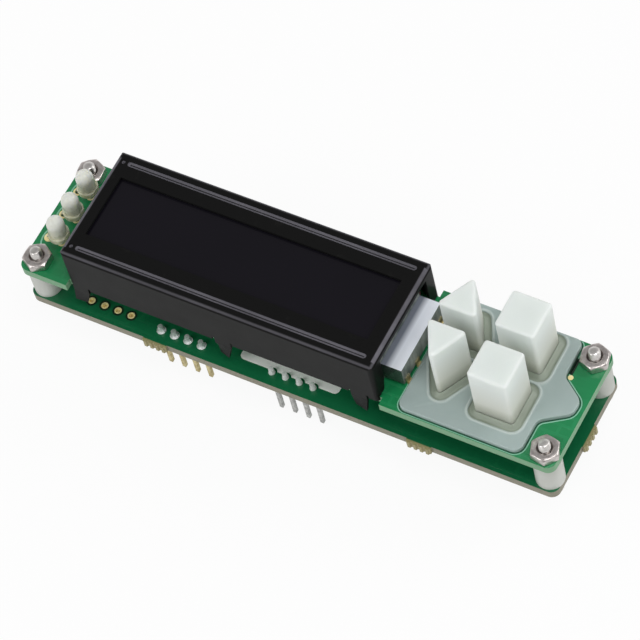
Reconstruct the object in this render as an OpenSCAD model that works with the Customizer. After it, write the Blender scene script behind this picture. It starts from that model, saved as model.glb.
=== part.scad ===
// Character display module: two circuit boards on spacers, with a bezelled
// display, three indicator lights and a four-key silicone keypad on the upper
// board and two pin headers under the lower one.
// Origin: centre of the four screw ends, on the plane of the nuts' top faces.
// +Z out of the display, +X towards the keypad, -Y towards the pin side.

/* [Boards] */
// How far the lower board reaches past the screws at each end
lower_end = 2.2; // [1.8:0.05:5]
// How far the upper board reaches past the left screws
upper_left_end = 2.62; // [1.8:0.02:5]
// How far the upper board reaches past the right screws
upper_right_end = 2.28; // [1.8:0.02:5]
// How far the upper board reaches past the bezel, front and back
bezel_step = 0.8; // [0.6:0.05:3]
// How far the lower board reaches past the upper one, front and back
lower_step = 0.15; // [0:0.05:2]
// Thickness of both boards
board_t = 1.6; // [1:0.1:2.4]
// Radius of the boards' corners
board_corner_r = 1.5; // [0.5:0.1:2.5]
// Gap between the boards, which is the length of the spacers
board_gap = 6; // [5:0.1:12]

/* [Fasteners] */
// Distance from the left screws to the bezel
left_room = 6.925; // [6.5:0.025:12]
// Distance from the keypad's mat to the right screws
right_room = 3.5; // [3.4:0.05:8]
// Distance from the screws to the upper board's front and back edges
screw_inset = 2.5; // [2:0.05:3]
// Diameter of the screws
screw_d = 2.18; // [1.8:0.02:2.5]
// How far the screw ends stand out of the nuts
screw_out = 1.5; // [0.8:0.1:4]
// Diameter of the screw heads
head_d = 4; // [3.2:0.1:4.6]
// Height of the screw heads
head_h = 1.4; // [1:0.1:2]
// Width of the nuts across their flats
nut_af = 4.76; // [4:0.02:5]
// Height of the nuts
nut_h = 1.65; // [1.2:0.05:2.4]
// Outer diameter of the spacers
spacer_d = 4.8; // [3.6:0.1:5.4]
// Radial play between a screw and what it passes through
screw_play = 0.12; // [0.05:0.01:0.3]

/* [Display] */
// Length of the bezel, left to right
bezel_l = 57.35; // [45:0.05:80]
// Depth of the bezel, front to back
bezel_d = 21.3; // [20:0.05:28]
// Height of the bezel's top above the upper board
bezel_h = 9.2; // [8.4:0.1:12]
// Thickness of the bezel's sheet metal
sheet_t = 0.5; // [0.3:0.05:0.6]
// Outer radius of the bezel's bends
bend_r = 0.8; // [0.65:0.05:1.4]
// Width of the bezel's face left of the window
window_left = 2.48; // [2:0.02:6]
// Width of the bezel's face right of the window
window_right = 3.02; // [2:0.02:6]
// Width of the bezel's face in front of the window and behind it
window_side = 4.75; // [3.6:0.05:6]
// Distance from the pressed beads to the bezel's left end
bead_left = 2.125; // [2.1:0.025:6]
// Distance from the pressed beads to the bezel's right end
bead_right = 1.725; // [1.6:0.025:6]
// Width of the beads at the bezel's surface
bead_w = 1; // [0.6:0.05:1.2]
// Depth of the beads
bead_deep = 0.35; // [0.2:0.05:0.45]
// Distance from a bead's middle to the bezel's front or back
bead_inset = 1.9; // [1.8:0.05:2.4]
// Width of the bezel's tabs at their roots
tab_w = 2.9; // [1.5:0.1:3.4]
// Length of the tabs below the bezel's walls
tab_h = 4.2; // [3:0.1:5]
// Angle by which the tabs are twisted
tab_turn = 16; // [0:1:20]
// Thickness of each display glass
glass_t = 1.1; // [0.55:0.05:1.2]
// Thickness of a polariser film
film_t = 0.2; // [0.1:0.05:0.25]
// How far the backlight stands out of the bezel's right end
backlight_out = 2.73; // [1:0.01:8]

/* [Lights] */
// Distance from the lights' middles to the bezel
light_gap = 5.075; // [4.6:0.025:5.4]
// Diameter of an indicator light's body
light_d = 3; // [2.4:0.1:3.2]
// Height of an indicator light
light_h = 5; // [4:0.1:6]
// Height at which the lights stand on their leads
light_lift = 2; // [1.8:0.1:3]
// Distance between the lights, front to back
light_dy = 4.85; // [4.6:0.01:5]
// Distance between the leads of a light
lead_pitch = 2.54; // [2:0.01:2.6]

/* [Keypad] */
// Width of the square keys
key_w = 6.9; // [5:0.05:7.8]
// Width of the arrow keys
arrow_w = 7.2; // [5.5:0.05:9]
// Height of an arrow key from its base to its point
arrow_h = 6.2; // [5:0.05:6.9]
// Width of the mat between the webs of the two columns
column_gap = 0.55; // [0.3:0.05:4]
// Width of the mat between the webs of the two rows
row_gap = 0.45; // [0.3:0.05:2]
// Height of the key tops above the upper board
key_h = 12.4; // [6:0.1:16]
// Travel of a key until its pill closes the contact
key_travel = 1; // [0.5:0.05:1.2]
// Thickness of the silicone mat
mat_t = 0.8; // [0.5:0.05:1.2]
// Width of the thin web round each key
web_w = 1.2; // [1:0.05:1.6]
// Diameter of the carbon pills
pill_d = 3.4; // [2:0.1:3.6]

/* [Headers] */
// Distance between the pins of a header
pin_pitch = 2.54; // [2:0.01:3]
// Number of pins in each header
pin_count = 4; // [2:1:4]
// Width of a square pin
pin_w = 0.64; // [0.4:0.01:0.66]
// Length of the left header's pins below the lower board
pins_left_h = 8.4; // [6:0.1:12]
// Length of the right header's pins below the lower board
pins_right_h = 9.6; // [6:0.1:12]
// Distance from the header pins to the lower board's front edge
header_inset = 2.27; // [1.9:0.01:2.6]

/* [Hidden] */

$fn = 48;
// Overlap that lets a cut pass cleanly through a face
cut = 0.5;

// Levels, from the nuts' top faces down to the lower board and up to the display
upper_top = -nut_h;
upper_bottom = upper_top - board_t;
lower_top = upper_bottom - board_gap;
lower_bottom = lower_top - board_t;
screw_hole_d = screw_d + 2 * screw_play;

// Lengths across the module, from the left screws to the right ones
mat_gap = 0.645;
mat_left_rim = 0.47;
mat_right_rim = 1.73;
mat_side = mat_left_rim + web_w + arrow_w / 2;
key_dx = arrow_w / 2 + 2 * web_w + column_gap + key_w / 2;
mat_end = key_w / 2 + web_w + mat_right_rim;
screw_dx = left_room + bezel_l + backlight_out + mat_gap + mat_side + key_dx + mat_end + right_room;
screws_left = -screw_dx / 2;
screws_right = screw_dx / 2;
lower_l = screw_dx + 2 * lower_end;
upper_l = screw_dx + upper_left_end + upper_right_end;
upper_x = (upper_right_end - upper_left_end) / 2;

// Depths, from the bezel outwards
upper_d = bezel_d + 2 * bezel_step;
lower_d = upper_d + 2 * lower_step;
screw_dy = upper_d - 2 * screw_inset;

// Inside the nuts and below them the screws have the thread's middle diameter
thread_depth = 0.17;
shank_r = screw_d / 2 - thread_depth;
screws_xy = [for (x = [-1, 1], y = [-1, 1]) [x * screw_dx / 2, y * screw_dy / 2]];

// The bezel and its skirt, which hangs in front of the upper board's edge
bezel_left = screws_left + left_room;
bezel_right = bezel_left + bezel_l;
bezel_x = (bezel_left + bezel_right) / 2;
bezel_top = upper_top + bezel_h;
bezel_under = bezel_top - sheet_t;
skirt_drop = 0.8;
skirt_low = upper_top - skirt_drop;
skirt_play = 0.05;
end_play = 0.25;
wall_in = bezel_d / 2 - sheet_t;
// The skirt's clearance to the ends of the board's notch
notch_end = 0.35;
notch_y = wall_in - skirt_play;
bead_dy = bezel_d - 2 * bead_inset;
bead_r = (bead_w * bead_w / 4 + bead_deep * bead_deep) / (2 * bead_deep);
bead_axis_z = bezel_top - bead_deep + bead_r;
dimple_d = 0.8;
dimple_gap = 0.75;
// Tab middles, measured inwards from the bezel's ends, and one in the middle
tab_left_in = 1.95;
tab_right_in = 3.77;
tab_taper = 0.35;
tab_slices = 6;
tabs_x = [bezel_left + tab_left_in, bezel_x, bezel_right - tab_right_in];
slot_w = 0.4;
slot_up = 0.6;
// The right end wall is open between two corner flanges, under a short lip
flange_w = 2.7;
flange_taper = 0.95;
flange_shoulder = 3;
lip_h = 1.4;

// The display's stack, held down by the beads' undersides
stack_top = bezel_under - bead_deep;
front_glass_low = stack_top - glass_t;
rear_glass_low = front_glass_low - glass_t;
backlight_top = rear_glass_low - film_t;
glass_play = 0.5;
glass_side_play = 0.45;
glass_ledge = 2.5;
front_glass_d = bezel_d - 2 * sheet_t - 2 * glass_side_play;
rear_glass_d = front_glass_d - 2 * glass_ledge;
glass_l = bezel_l - 2 * sheet_t - 2 * glass_play;
film_margin = 0.6;
zebra_w = 1.9;
zebra_gap = 0.25;
zebra_y = rear_glass_d / 2 + zebra_gap;
zebra_end = 1.675;
zebra_l = glass_l - 2 * zebra_end;
// The backlight's part outside the bezel is lower than the rest
backlight_side = 0.4;
backlight_d = rear_glass_d - 2 * backlight_side;
outer_low = 0.6;
outer_top = 4.6;
backlight_right = bezel_right + backlight_out;
solder_tab_w = 1.1;
solder_tab_out = 0.5;
solder_tab_t = 0.25;
solder_tab_gap = 3.3;
outer_tab_y = backlight_d / 2 - solder_tab_w;

// Lights beside the bezel's left end
light_x = bezel_left - light_gap;
light_y = 0.48;
collar_out = 0.3;
light_flange_d = light_d + 2 * collar_out;
light_flange_h = 1;
lead_w = 0.5;
lead_root = 1;
lead_hole_d = 0.9;
lead_under = 0.9;
lights_y = [for (i = [-1:1]) light_y + i * light_dy];

// Keypad: two arrow keys on the left, two square keys on the right
arrow_r = 0.55;
key_r = 0.6;
key_bevel = 0.3;
corner_steps = 5;
contact_t = 0.03;
contact_w = 4.2;
pill_t = 0.25;
pill_out = 0.1;
pill_play = 0.04;
rest_gap = 0.05;
pill_low = upper_top + contact_t + key_travel + rest_gap;
key_low = pill_low + pill_out;
key_top = upper_top + key_h;
web_play = 0.04;
web_t = 0.3;
web_low = upper_top + 0.1;
web_seat = 0.3;
web_top = key_low + web_seat;
// The mat follows the board's edges, with the keys laid out from its back
mat_front_margin = 0.5;
mat_back_margin = 0.25;
mat_back_rim = 0.4;
mat_left = bezel_right + backlight_out + mat_gap;
mat_front = mat_front_margin - upper_d / 2;
mat_back = upper_d / 2 - mat_back_margin;
left_column = mat_left + mat_side;
right_column = left_column + key_dx;
mat_right = right_column + mat_end;
back_row = mat_back - mat_back_rim - web_w - key_w / 2;
front_row = back_row - key_w - 2 * web_w - row_gap;
// Lip round each web
lip_w = 0.35;
lip_up = 0.15;
// The tongue on the mat's right, and the step behind it
tongue_out = 4.8;
tongue_off = 1.43;
tongue_y = (front_row + back_row) / 2 - tongue_off;
tongue_root = 8.8;
tongue_tip = 2.6;
tongue_slant = 0.2;
mat_step = 0.5;

// Headers under the lower board
left_header_in = 24.16;
right_header_in = 44.95;
left_header_x = left_header_in - lower_l / 2;
right_header_x = right_header_in - lower_l / 2;
header_y = lower_d / 2 - header_inset;
header_h = 2;
header_w = 2.4;
header_trim = 0.1;
header_chamfer = 0.35;
pin_hole_d = 1;
pin_up = 1.2;
pin_tip = 0.5;
cone_h = 1;
cone_r = 0.85;
cone_top_r = 0.52;
pad_t = 0.04;
pad_d = 1.7;
plating_t = 0.1;
spot_d = 0.9;
spot_out = 1.2;
spot_up = 0.45;
spare_in = 10.51;
spare_back = 0.48;
spare_x = spare_in - lower_l / 2;
spare_y = header_y - spare_back;
spare_count = 4;
label_t = 0.12;
label_before = 6.3;
label_after = 11.9;
label_back = 0.38;
label_left = right_header_x - label_before;
label_right = right_header_x + label_after;
label_front = header_y - label_back;
label_d = 6;
label_r = 0.8;

// Break-off stubs left on the lower board's edges
stub_out = 0.7;
stub_pitch = 1.1;
stub_count = 4;
stub_hole_d = 0.6;
stub_in = 24.2;
stub_x = lower_l / 2 - stub_in;

// The link between the boards
link_count = 8;
link_pitch = 2.54;
link_in = 16.4;
link_from_screws = 1.75;
link_x = screws_right - link_in;
link_y = screw_dy / 2 - link_from_screws;
link_w = 2.5;
link_play = 0.1;
socket_h = 3.6;
link_hole_w = 0.9;
link_pin_w = 0.6;
link_depth = 0.8;

// Parts under the boards
cap_d = 9;
cap_h = 1.3;
left_cap_off = 16.2;
right_cap_off = 4.8;
caps_x = [bezel_x - left_cap_off, bezel_x + right_cap_off];
controller_w = 7;
controller_h = 1.4;
controller_off = 17.65;
controller_x = right_header_x + controller_off;
controller_lift = 0.1;
leg_pitch = 0.8;
leg_count = 8;
leg_w = 0.35;
leg_t = 0.15;
leg_out = 1;
crystal_off = 12;
crystal_x = controller_x + crystal_off;
crystal_d = 3.5;
crystal_l = 7;
crystal_h = 3.6;
regulator_in = 15.6;
regulator_x = regulator_in - lower_l / 2;
regulator_y = 2;
regulator_l = 6.5;
regulator_w = 3.5;
regulator_h = 1.7;
regulator_lift = 0.1;
regulator_lead_h = 0.4;
regulator_lead_w = 0.7;
regulator_lead_out = 1.65;
regulator_tab_w = 3;
regulator_pitch = 2.3;
resistors_off = 11;
resistors_y = 3;
resistor_pitch = 4;
column_off = 8;
column_pitch = 3;
small_chips_off = 14;
small_chips_y = 2.5;
resistor_l = 2;
resistor_w = 1.25;
resistor_h = 0.6;
small_chip_l = 1.6;
small_chip_w = 0.8;
small_chip_h = 0.5;

// ---- Outlines with rounded corners ----

function unit(v) = v / norm(v);

// The two edge directions at corner i, pointing away from it
function edge_in(p, i) = unit(p[(i + len(p) - 1) % len(p)] - p[i]);
function edge_out(p, i) = unit(p[(i + 1) % len(p)] - p[i]);

// Half the inner angle at corner i
function half_angle(p, i) = acos(edge_in(p, i) * edge_out(p, i)) / 2;

// Outline p moved outwards by g on every side
function grown(p, g) = [
    for (i = [0:len(p) - 1])
        let (middle = unit(edge_in(p, i) + edge_out(p, i)))
            p[i] - middle * g / sin(half_angle(p, i))
];

// The arc of radius r that rounds corner i
function corner_arc(p, i, r) =
    let (
        a = edge_in(p, i),
        b = edge_out(p, i),
        half = half_angle(p, i),
        centre = p[i] + unit(a + b) * r / sin(half),
        from = p[i] + a * r / tan(half) - centre,
        to = p[i] + b * r / tan(half) - centre,
        start = atan2(from[1], from[0]),
        turn = (atan2(to[1], to[0]) - start + 540) % 360 - 180
    )
    [
        for (k = [0:corner_steps])
            centre + r * [cos(start + turn * k / corner_steps), sin(start + turn * k / corner_steps)]
    ];

// Outline p with corner i rounded by radii[i]
function rounded(p, radii) = [
    for (i = [0:len(p) - 1])
        each corner_arc(p, i, radii[i])
];

function same(p, r) = [for (corner = p) r];

// ---- Shared shapes ----

// A flat plate with round corners, centred on x
module plate(l, d, t, r, x = 0) {
    translate([x, 0, 0])
        linear_extrude(t) {
            square([l, d - 2 * r], center = true);
            square([l - 2 * r, d], center = true);
            for (sx = [-1, 1], sy = [-1, 1])
                translate([sx * (l / 2 - r), sy * (d / 2 - r)])
                    circle(r);
        }
}

// A block between two corners
module block(low, high) {
    translate(low)
        cube(high - low);
}

module at_screws() {
    for (p = screws_xy)
        translate([p[0], p[1], 0])
            children();
}

// ---- Boards ----

// A stub with half-holes along its broken edge, outside the edge y = 0
module stub() {
    l = stub_count * stub_pitch;
    difference() {
        translate([-l / 2, -cut])
            square([l, stub_out + cut]);
        for (i = [0:stub_count])
            translate([(i - stub_count / 2) * stub_pitch, stub_out])
                circle(d = stub_hole_d);
    }
}

module lower_board() {
    color([0.05, 0.28, 0.17])
    difference() {
        union() {
            translate([0, 0, lower_bottom])
                plate(lower_l, lower_d, board_t, board_corner_r);
            translate([0, 0, lower_bottom])
                linear_extrude(board_t) {
                    for (sx = [-1, 1], turn = [0, 180])
                        rotate(turn)
                            translate([sx * stub_x, lower_d / 2])
                                stub();
                    for (turn = [-90, 90])
                        rotate(turn)
                            translate([0, lower_l / 2])
                                stub();
                }
        }
        translate([0, 0, lower_bottom - cut])
            at_screws()
                cylinder(d = screw_hole_d, h = board_t + 2 * cut);
        for (x = header_pins_x)
            translate([x, -header_y, lower_bottom - cut])
                cylinder(d = pin_hole_d, h = board_t + 2 * cut);
        for (x = spare_pads_x)
            translate([x, -spare_y, lower_bottom - cut])
                cylinder(d = pin_hole_d, h = board_t + 2 * cut);
    }
}

header_pins_x = [for (x0 = [left_header_x, right_header_x], i = [0:pin_count - 1]) x0 + i * pin_pitch];
spare_pads_x = [for (i = [0:spare_count - 1]) spare_x + i * pin_pitch];

// The board narrows where the bezel's skirt hangs in front of its edges
module upper_board() {
    color([0.12, 0.5, 0.3])
    difference() {
        translate([0, 0, upper_bottom])
            plate(upper_l, upper_d, board_t, board_corner_r, upper_x);
        for (side = [0, 1])
            mirror([0, side, 0])
                block([bezel_left - notch_end, notch_y, upper_bottom - cut],
                    [bezel_right + notch_end, upper_d, upper_top + cut]);
        translate([0, 0, upper_bottom - cut])
            at_screws()
                cylinder(d = screw_hole_d, h = board_t + 2 * cut);
        for (x = leads_x, y = lights_y)
            translate([x, y, upper_bottom - cut])
                cylinder(d = lead_hole_d, h = board_t + 2 * cut);
    }
}

leads_x = [for (i = [-1:1]) light_x + i * lead_pitch];

// ---- Fasteners ----

module spacer(sx, sy) {
    color([0.9, 0.9, 0.88])
    translate([sx * screw_dx / 2, sy * screw_dy / 2, lower_top])
        difference() {
            cylinder(d = spacer_d, h = board_gap);
            translate([0, 0, -cut])
                cylinder(d = screw_hole_d, h = board_gap + 2 * cut);
        }
}

module spacer_front_left() {
    spacer(-1, -1);
}

module spacer_front_right() {
    spacer(1, -1);
}

module spacer_back_left() {
    spacer(-1, 1);
}

module spacer_back_right() {
    spacer(1, 1);
}

// Pan-head screws put in from below, with a rounded end above the nut
module screw() {
    end_r = 0.35;
    head_round = head_h * 0.45;
    r = screw_d / 2;
    difference() {
        rotate_extrude()
            difference() {
                union() {
                    translate([0, lower_bottom - cut])
                        square([shank_r, cut - lower_bottom]);
                    square([r, screw_out - end_r]);
                    translate([0, screw_out - end_r - cut])
                        square([r - end_r, end_r + cut]);
                    intersection() {
                        translate([r - end_r, screw_out - end_r])
                            circle(end_r);
                        translate([0, screw_out - end_r - cut])
                            square([r, end_r + cut]);
                    }
                    translate([0, lower_bottom - head_h + head_round])
                        square([head_d / 2, head_h - head_round]);
                    translate([0, lower_bottom - head_h])
                        square([head_d / 2 - head_round, head_round + 0.01]);
                    intersection() {
                        translate([head_d / 2 - head_round, lower_bottom - head_h + head_round])
                            circle(head_round);
                        translate([0, lower_bottom - head_h])
                            square([head_d / 2, head_round + 0.01]);
                    }
                }
                translate([-head_d, lower_bottom - 2 * head_h])
                    square([head_d, 2 * screw_out - lower_bottom + 2 * head_h]);
            }
        for (turn = [0, 90])
            rotate(turn)
                translate([-head_d * 0.3, -0.2, lower_bottom - head_h - cut])
                    cube([head_d * 0.6, 0.4, cut + head_h * 0.5]);
    }
}

module screws() {
    color([0.72, 0.7, 0.68])
    at_screws()
        screw();
}

// A hexagon with its upper corners turned off
module nut() {
    across_corners = nut_af / cos(30);
    turned_off = (across_corners - nut_af) / 2;
    difference() {
        intersection() {
            translate([0, 0, upper_top])
                cylinder(d = across_corners, h = nut_h, $fn = 6);
            union() {
                translate([0, 0, upper_top - cut])
                    cylinder(d = across_corners + 0.02, h = nut_h + cut - turned_off * 0.7);
                translate([0, 0, -turned_off * 0.7])
                    cylinder(d1 = across_corners + 0.02, d2 = nut_af * 0.97, h = turned_off * 0.7);
            }
        }
        translate([0, 0, upper_top - cut])
            cylinder(r = shank_r + 0.01, h = nut_h + 2 * cut);
    }
}

module nuts() {
    color([0.72, 0.7, 0.68])
    at_screws()
        nut();
}

// ---- Bezel ----

// Section across the bezel with its two top corners rounded
module arch(half_w, low, high, r) {
    translate([-half_w, low])
        square([2 * half_w, high - r - low]);
    translate([r - half_w, low])
        square([2 * (half_w - r), high - low]);
    for (side = [-1, 1])
        translate([side * (half_w - r), high - r])
            circle(r);
}

// A block with rounded top and upright edges, open or closed by what is cut from it
module folded_block(half_l, half_d, low, high, r) {
    intersection() {
        translate([-half_l - cut, 0, 0])
            rotate([90, 0, 90])
                linear_extrude(2 * (half_l + cut))
                    arch(half_d, low, high, r);
        translate([0, half_d + cut, 0])
            rotate([90, 0, 0])
                linear_extrude(2 * (half_d + cut))
                    arch(half_l, low, high, r);
        translate([0, 0, low])
            plate(2 * half_l, 2 * half_d, high - low, r);
    }
}

// A rod with round ends along X
module capsule(l, r) {
    translate([r - l / 2, 0, 0])
        rotate([0, 90, 0])
            cylinder(r = r, h = l - 2 * r);
    for (side = [-1, 1])
        translate([side * (l / 2 - r), 0, 0])
            sphere(r);
}

module at_beads() {
    for (side = [-1, 1])
        translate([(bead_left - bead_right) / 2, side * bead_dy / 2, bead_axis_z])
            children();
}

// One tab: straight past the board's edge, then twisted under it and narrower
module tab() {
    straight_low = upper_bottom - 0.1;
    twisted = straight_low - skirt_low + tab_h;
    translate([-tab_w / 2, 0, straight_low])
        cube([tab_w, sheet_t, skirt_low + cut - straight_low]);
    translate([0, sheet_t / 2, straight_low + 0.05])
        mirror([0, 0, 1])
            linear_extrude(twisted, twist = tab_turn, slices = tab_slices,
                scale = [1 - 2 * tab_taper / tab_w, 1], $fn = 4)
                square([tab_w, sheet_t], center = true);
}

module end_opening() {
    high_w = bezel_d / 2 - flange_w;
    low_w = high_w + flange_taper;
    polygon([
        [-low_w, skirt_low],
        [low_w, skirt_low],
        [high_w, upper_top + flange_shoulder],
        [high_w, bezel_top - lip_h],
        [-high_w, bezel_top - lip_h],
        [-high_w, upper_top + flange_shoulder]
    ]);
}

module bezel() {
    bead_l = bezel_l - bead_left - bead_right;
    half_l = bezel_l / 2;
    half_d = bezel_d / 2;
    color([0.11, 0.11, 0.11])
    translate([bezel_x, 0, 0])
        difference() {
            union() {
                difference() {
                    folded_block(half_l, half_d, skirt_low, bezel_top, bend_r);
                    folded_block(half_l - sheet_t, wall_in, skirt_low - 1, bezel_under, bend_r - sheet_t);
                }
                intersection() {
                    at_beads()
                        capsule(bead_l + 2 * sheet_t, bead_r + sheet_t);
                    block([-half_l, -half_d, bezel_under - 2],
                        [half_l, half_d, bezel_under + 0.05]);
                }
                for (side = [0, 1])
                    mirror([0, side, 0])
                        for (x = tabs_x)
                            translate([x - bezel_x, -half_d, 0])
                                tab();
            }
            at_beads()
                capsule(bead_l, bead_r);
            for (side = [-1, 1])
                translate([bead_left - half_l - dimple_gap, side * bead_dy / 2, bezel_top])
                    sphere(d = dimple_d);
            // The window
            block([window_left - half_l, window_side - half_d, bezel_under - cut],
                [half_l - window_right, half_d - window_side, bezel_top + cut]);
            // The end walls stop above the board
            block([-half_l - 1, -notch_y, skirt_low - 1], [half_l + 1, notch_y, upper_top + end_play]);
            // The opening in the right end, wider at the foot
            translate([half_l - sheet_t - 0.1, 0, 0])
                rotate([90, 0, 90])
                    linear_extrude(1 + sheet_t)
                        end_opening();
            // Relief slots beside the tabs
            for (side = [0, 1], x = tabs_x, edge = [-1, 1])
                mirror([0, side, 0])
                    translate([x - bezel_x + edge * (tab_w + slot_w) / 2, -half_d, skirt_low])
                        cube([slot_w, 4 * sheet_t, 2 * slot_up], center = true);
        }
}

// ---- Display stack ----

// A sheet of the stack between two levels, short of the glass's edge by a margin
module sheet_between(l, d, low, high) {
    translate([bezel_x - l / 2, -d / 2, low])
        cube([l, d, high - low]);
}

module front_polariser() {
    color([0.09, 0.08, 0.11])
    sheet_between(glass_l - 2 * film_margin, bead_dy - 2 * bead_r - 2 * sheet_t - 0.2,
        stack_top, stack_top + min(film_t, bead_deep - 0.1));
}

module front_glass() {
    color([0.1, 0.1, 0.12])
    sheet_between(glass_l, front_glass_d, front_glass_low, stack_top);
}

module rear_glass() {
    color([0.1, 0.1, 0.12])
    sheet_between(glass_l, rear_glass_d, rear_glass_low, front_glass_low);
}

module rear_polariser() {
    color([0.09, 0.08, 0.11])
    sheet_between(glass_l - 2 * film_margin, rear_glass_d - 2 * film_margin, backlight_top, rear_glass_low);
}

module zebra(side) {
    color([0.75, 0.4, 0.45])
    translate([bezel_x, side * (zebra_y + zebra_w / 2), upper_top])
        linear_extrude(front_glass_low - upper_top)
            square([zebra_l, zebra_w], center = true);
}

module zebra_front() {
    zebra(-1);
}

module zebra_back() {
    zebra(1);
}

// Light guide inside the bezel, with its lower lamp end outside
module backlight() {
    inner_left = bezel_left + sheet_t + 2;
    inner_right = bezel_right - sheet_t - glass_play;
    color([0.85, 0.86, 0.9])
    union() {
        block([inner_left, -backlight_d / 2, upper_top], [inner_right, backlight_d / 2, backlight_top]);
        block([inner_right - cut, -backlight_d / 2, upper_top + outer_low],
            [backlight_right, backlight_d / 2, upper_top + outer_top]);
        // Feet that carry the outer end on the board
        for (side = [-1, 1])
            translate([backlight_right - 1.2, side * (backlight_d / 2 - 1), upper_top])
                cylinder(d = 1.2, h = outer_low + 0.1);
    }
}

// Solder tabs low on the lamp end
module backlight_tabs() {
    color([0.86, 0.82, 0.6])
    for (y = [-outer_tab_y, solder_tab_gap - outer_tab_y, outer_tab_y])
        translate([backlight_right, y - solder_tab_w / 2, upper_top]) {
            cube([solder_tab_t, solder_tab_w, outer_low + 0.9]);
            cube([solder_tab_out, solder_tab_w, solder_tab_t]);
        }
}

// ---- Indicator lights ----

// A round-nosed light with a collar, standing on its leads
module light(y) {
    body_r = light_d / 2;
    color([0.84, 0.85, 0.8])
    translate([light_x, y, upper_top + light_lift])
        difference() {
            union() {
                cylinder(d = light_flange_d, h = light_flange_h);
                cylinder(r = body_r, h = light_h - body_r);
                translate([0, 0, light_h - body_r])
                    sphere(body_r);
            }
            // Flat on the collar
            block([body_r + 0.1, -light_d, -cut], [light_d, light_d, light_flange_h + cut]);
        }
}

module light_front() {
    light(lights_y[0]);
}

module light_middle() {
    light(lights_y[1]);
}

module light_back() {
    light(lights_y[2]);
}

// Outline of an outer lead: down from the light, outwards, and through the board
module formed_lead() {
    half = lead_w / 2;
    bend_high = light_lift - 0.3;
    bend_low = 0.5;
    polygon([
        [lead_root - half, light_lift],
        [lead_root + half, light_lift],
        [lead_root + half, bend_high],
        [lead_pitch + half, bend_low],
        [lead_pitch + half, -board_t - lead_under],
        [lead_pitch - half, -board_t - lead_under],
        [lead_pitch - half, bend_low - 0.2],
        [lead_root - half, bend_high - 0.2]
    ]);
}

module light_leads() {
    color([0.75, 0.75, 0.73])
    for (y = lights_y)
        translate([light_x, y + lead_w / 2, upper_top])
            rotate([90, 0, 0])
                linear_extrude(lead_w) {
                    formed_lead();
                    mirror([1, 0])
                        formed_lead();
                    translate([-lead_w / 2, -board_t - lead_under])
                        square([lead_w, board_t + lead_under + light_lift]);
                }
}

// ---- Keypad ----

square_key = [[-key_w, -key_w], [key_w, -key_w], [key_w, key_w], [-key_w, key_w]] / 2;
arrow_key = [[-arrow_w / 2, -arrow_h / 2], [arrow_w / 2, -arrow_h / 2], [0, arrow_h / 2]];
// The arrow's rounded point falls short of the triangle's own corner
arrow_point = arrow_r / sin(atan(arrow_w / (2 * arrow_h))) - arrow_r;
arrow_full = [arrow_key[0], arrow_key[1], arrow_key[2] + [0, arrow_point]];

// A key's outline with its sides moved outwards by g
function arrow_outline(g) = rounded(grown(arrow_full, g), same(arrow_full, arrow_r + g));
function square_outline(g) = rounded(grown(square_key, g), same(square_key, key_r + g));

module at_key_up() {
    translate([left_column, back_row - (key_w - arrow_h) / 2, 0])
        children();
}

module at_key_down() {
    translate([left_column, front_row + (key_w - arrow_h) / 2, 0])
        rotate(180)
            children();
}

module at_key_enter() {
    translate([right_column, back_row, 0])
        children();
}

module at_key_cancel() {
    translate([right_column, front_row, 0])
        children();
}

// A silicone key with bevelled top edges and a seat for its pill
module key(outline, inner_outline) {
    color([0.87, 0.88, 0.86])
    difference() {
        hull() {
            translate([0, 0, key_low])
                linear_extrude(key_top - key_bevel - key_low)
                    polygon(outline);
            translate([0, 0, key_low])
                linear_extrude(key_top - key_low)
                    polygon(inner_outline);
        }
        translate([0, 0, key_low - cut])
            cylinder(d = pill_d + 2 * pill_play, h = cut + pill_t - pill_out);
    }
}

module key_up() {
    at_key_up()
        key(arrow_outline(0), arrow_outline(-key_bevel));
}

module key_down() {
    at_key_down()
        key(arrow_outline(0), arrow_outline(-key_bevel));
}

module key_enter() {
    at_key_enter()
        key(square_outline(0), square_outline(-key_bevel));
}

module key_cancel() {
    at_key_cancel()
        key(square_outline(0), square_outline(-key_bevel));
}

// The thin sloping web that joins a key to the mat
module web(outer, inner) {
    color([0.72, 0.76, 0.73])
    difference() {
        hull() {
            translate([0, 0, web_low])
                linear_extrude(web_t)
                    polygon(outer);
            translate([0, 0, web_top - 0.01])
                linear_extrude(0.01)
                    polygon(inner);
        }
        hull() {
            translate([0, 0, web_low - web_t - 0.01])
                linear_extrude(web_t)
                    polygon(outer);
            translate([0, 0, web_top - web_t - 0.02])
                linear_extrude(0.01)
                    polygon(inner);
        }
        translate([0, 0, web_low - 1])
            linear_extrude(web_top - web_low + 2)
                polygon(inner);
    }
}

module web_up() {
    at_key_up()
        web(arrow_outline(web_w), arrow_outline(web_play));
}

module web_down() {
    at_key_down()
        web(arrow_outline(web_w), arrow_outline(web_play));
}

module web_enter() {
    at_key_enter()
        web(square_outline(web_w), square_outline(web_play));
}

module web_cancel() {
    at_key_cancel()
        web(square_outline(web_w), square_outline(web_play));
}

module pill() {
    color([0.1, 0.1, 0.1])
    translate([0, 0, pill_low])
        cylinder(d = pill_d, h = pill_t);
}

module pill_up() {
    at_key_up()
        pill();
}

module pill_down() {
    at_key_down()
        pill();
}

module pill_enter() {
    at_key_enter()
        pill();
}

module pill_cancel() {
    at_key_cancel()
        pill();
}

// The mat's outline, anticlockwise from its front left corner
mat_corners = [
    [mat_left, mat_front],
    [mat_right, mat_front],
    [mat_right, tongue_y - tongue_root / 2],
    [mat_right + tongue_out - tongue_slant, tongue_y - tongue_tip / 2],
    [mat_right + tongue_out, tongue_y + tongue_tip / 2],
    [mat_right + mat_step, tongue_y + tongue_root / 2],
    [mat_right + mat_step, mat_back],
    [mat_left, mat_back]
];
mat_radii = [0.8, 1.6, 1.4, 1.1, 1.1, 1.2, 1.2, 0.8];

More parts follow.
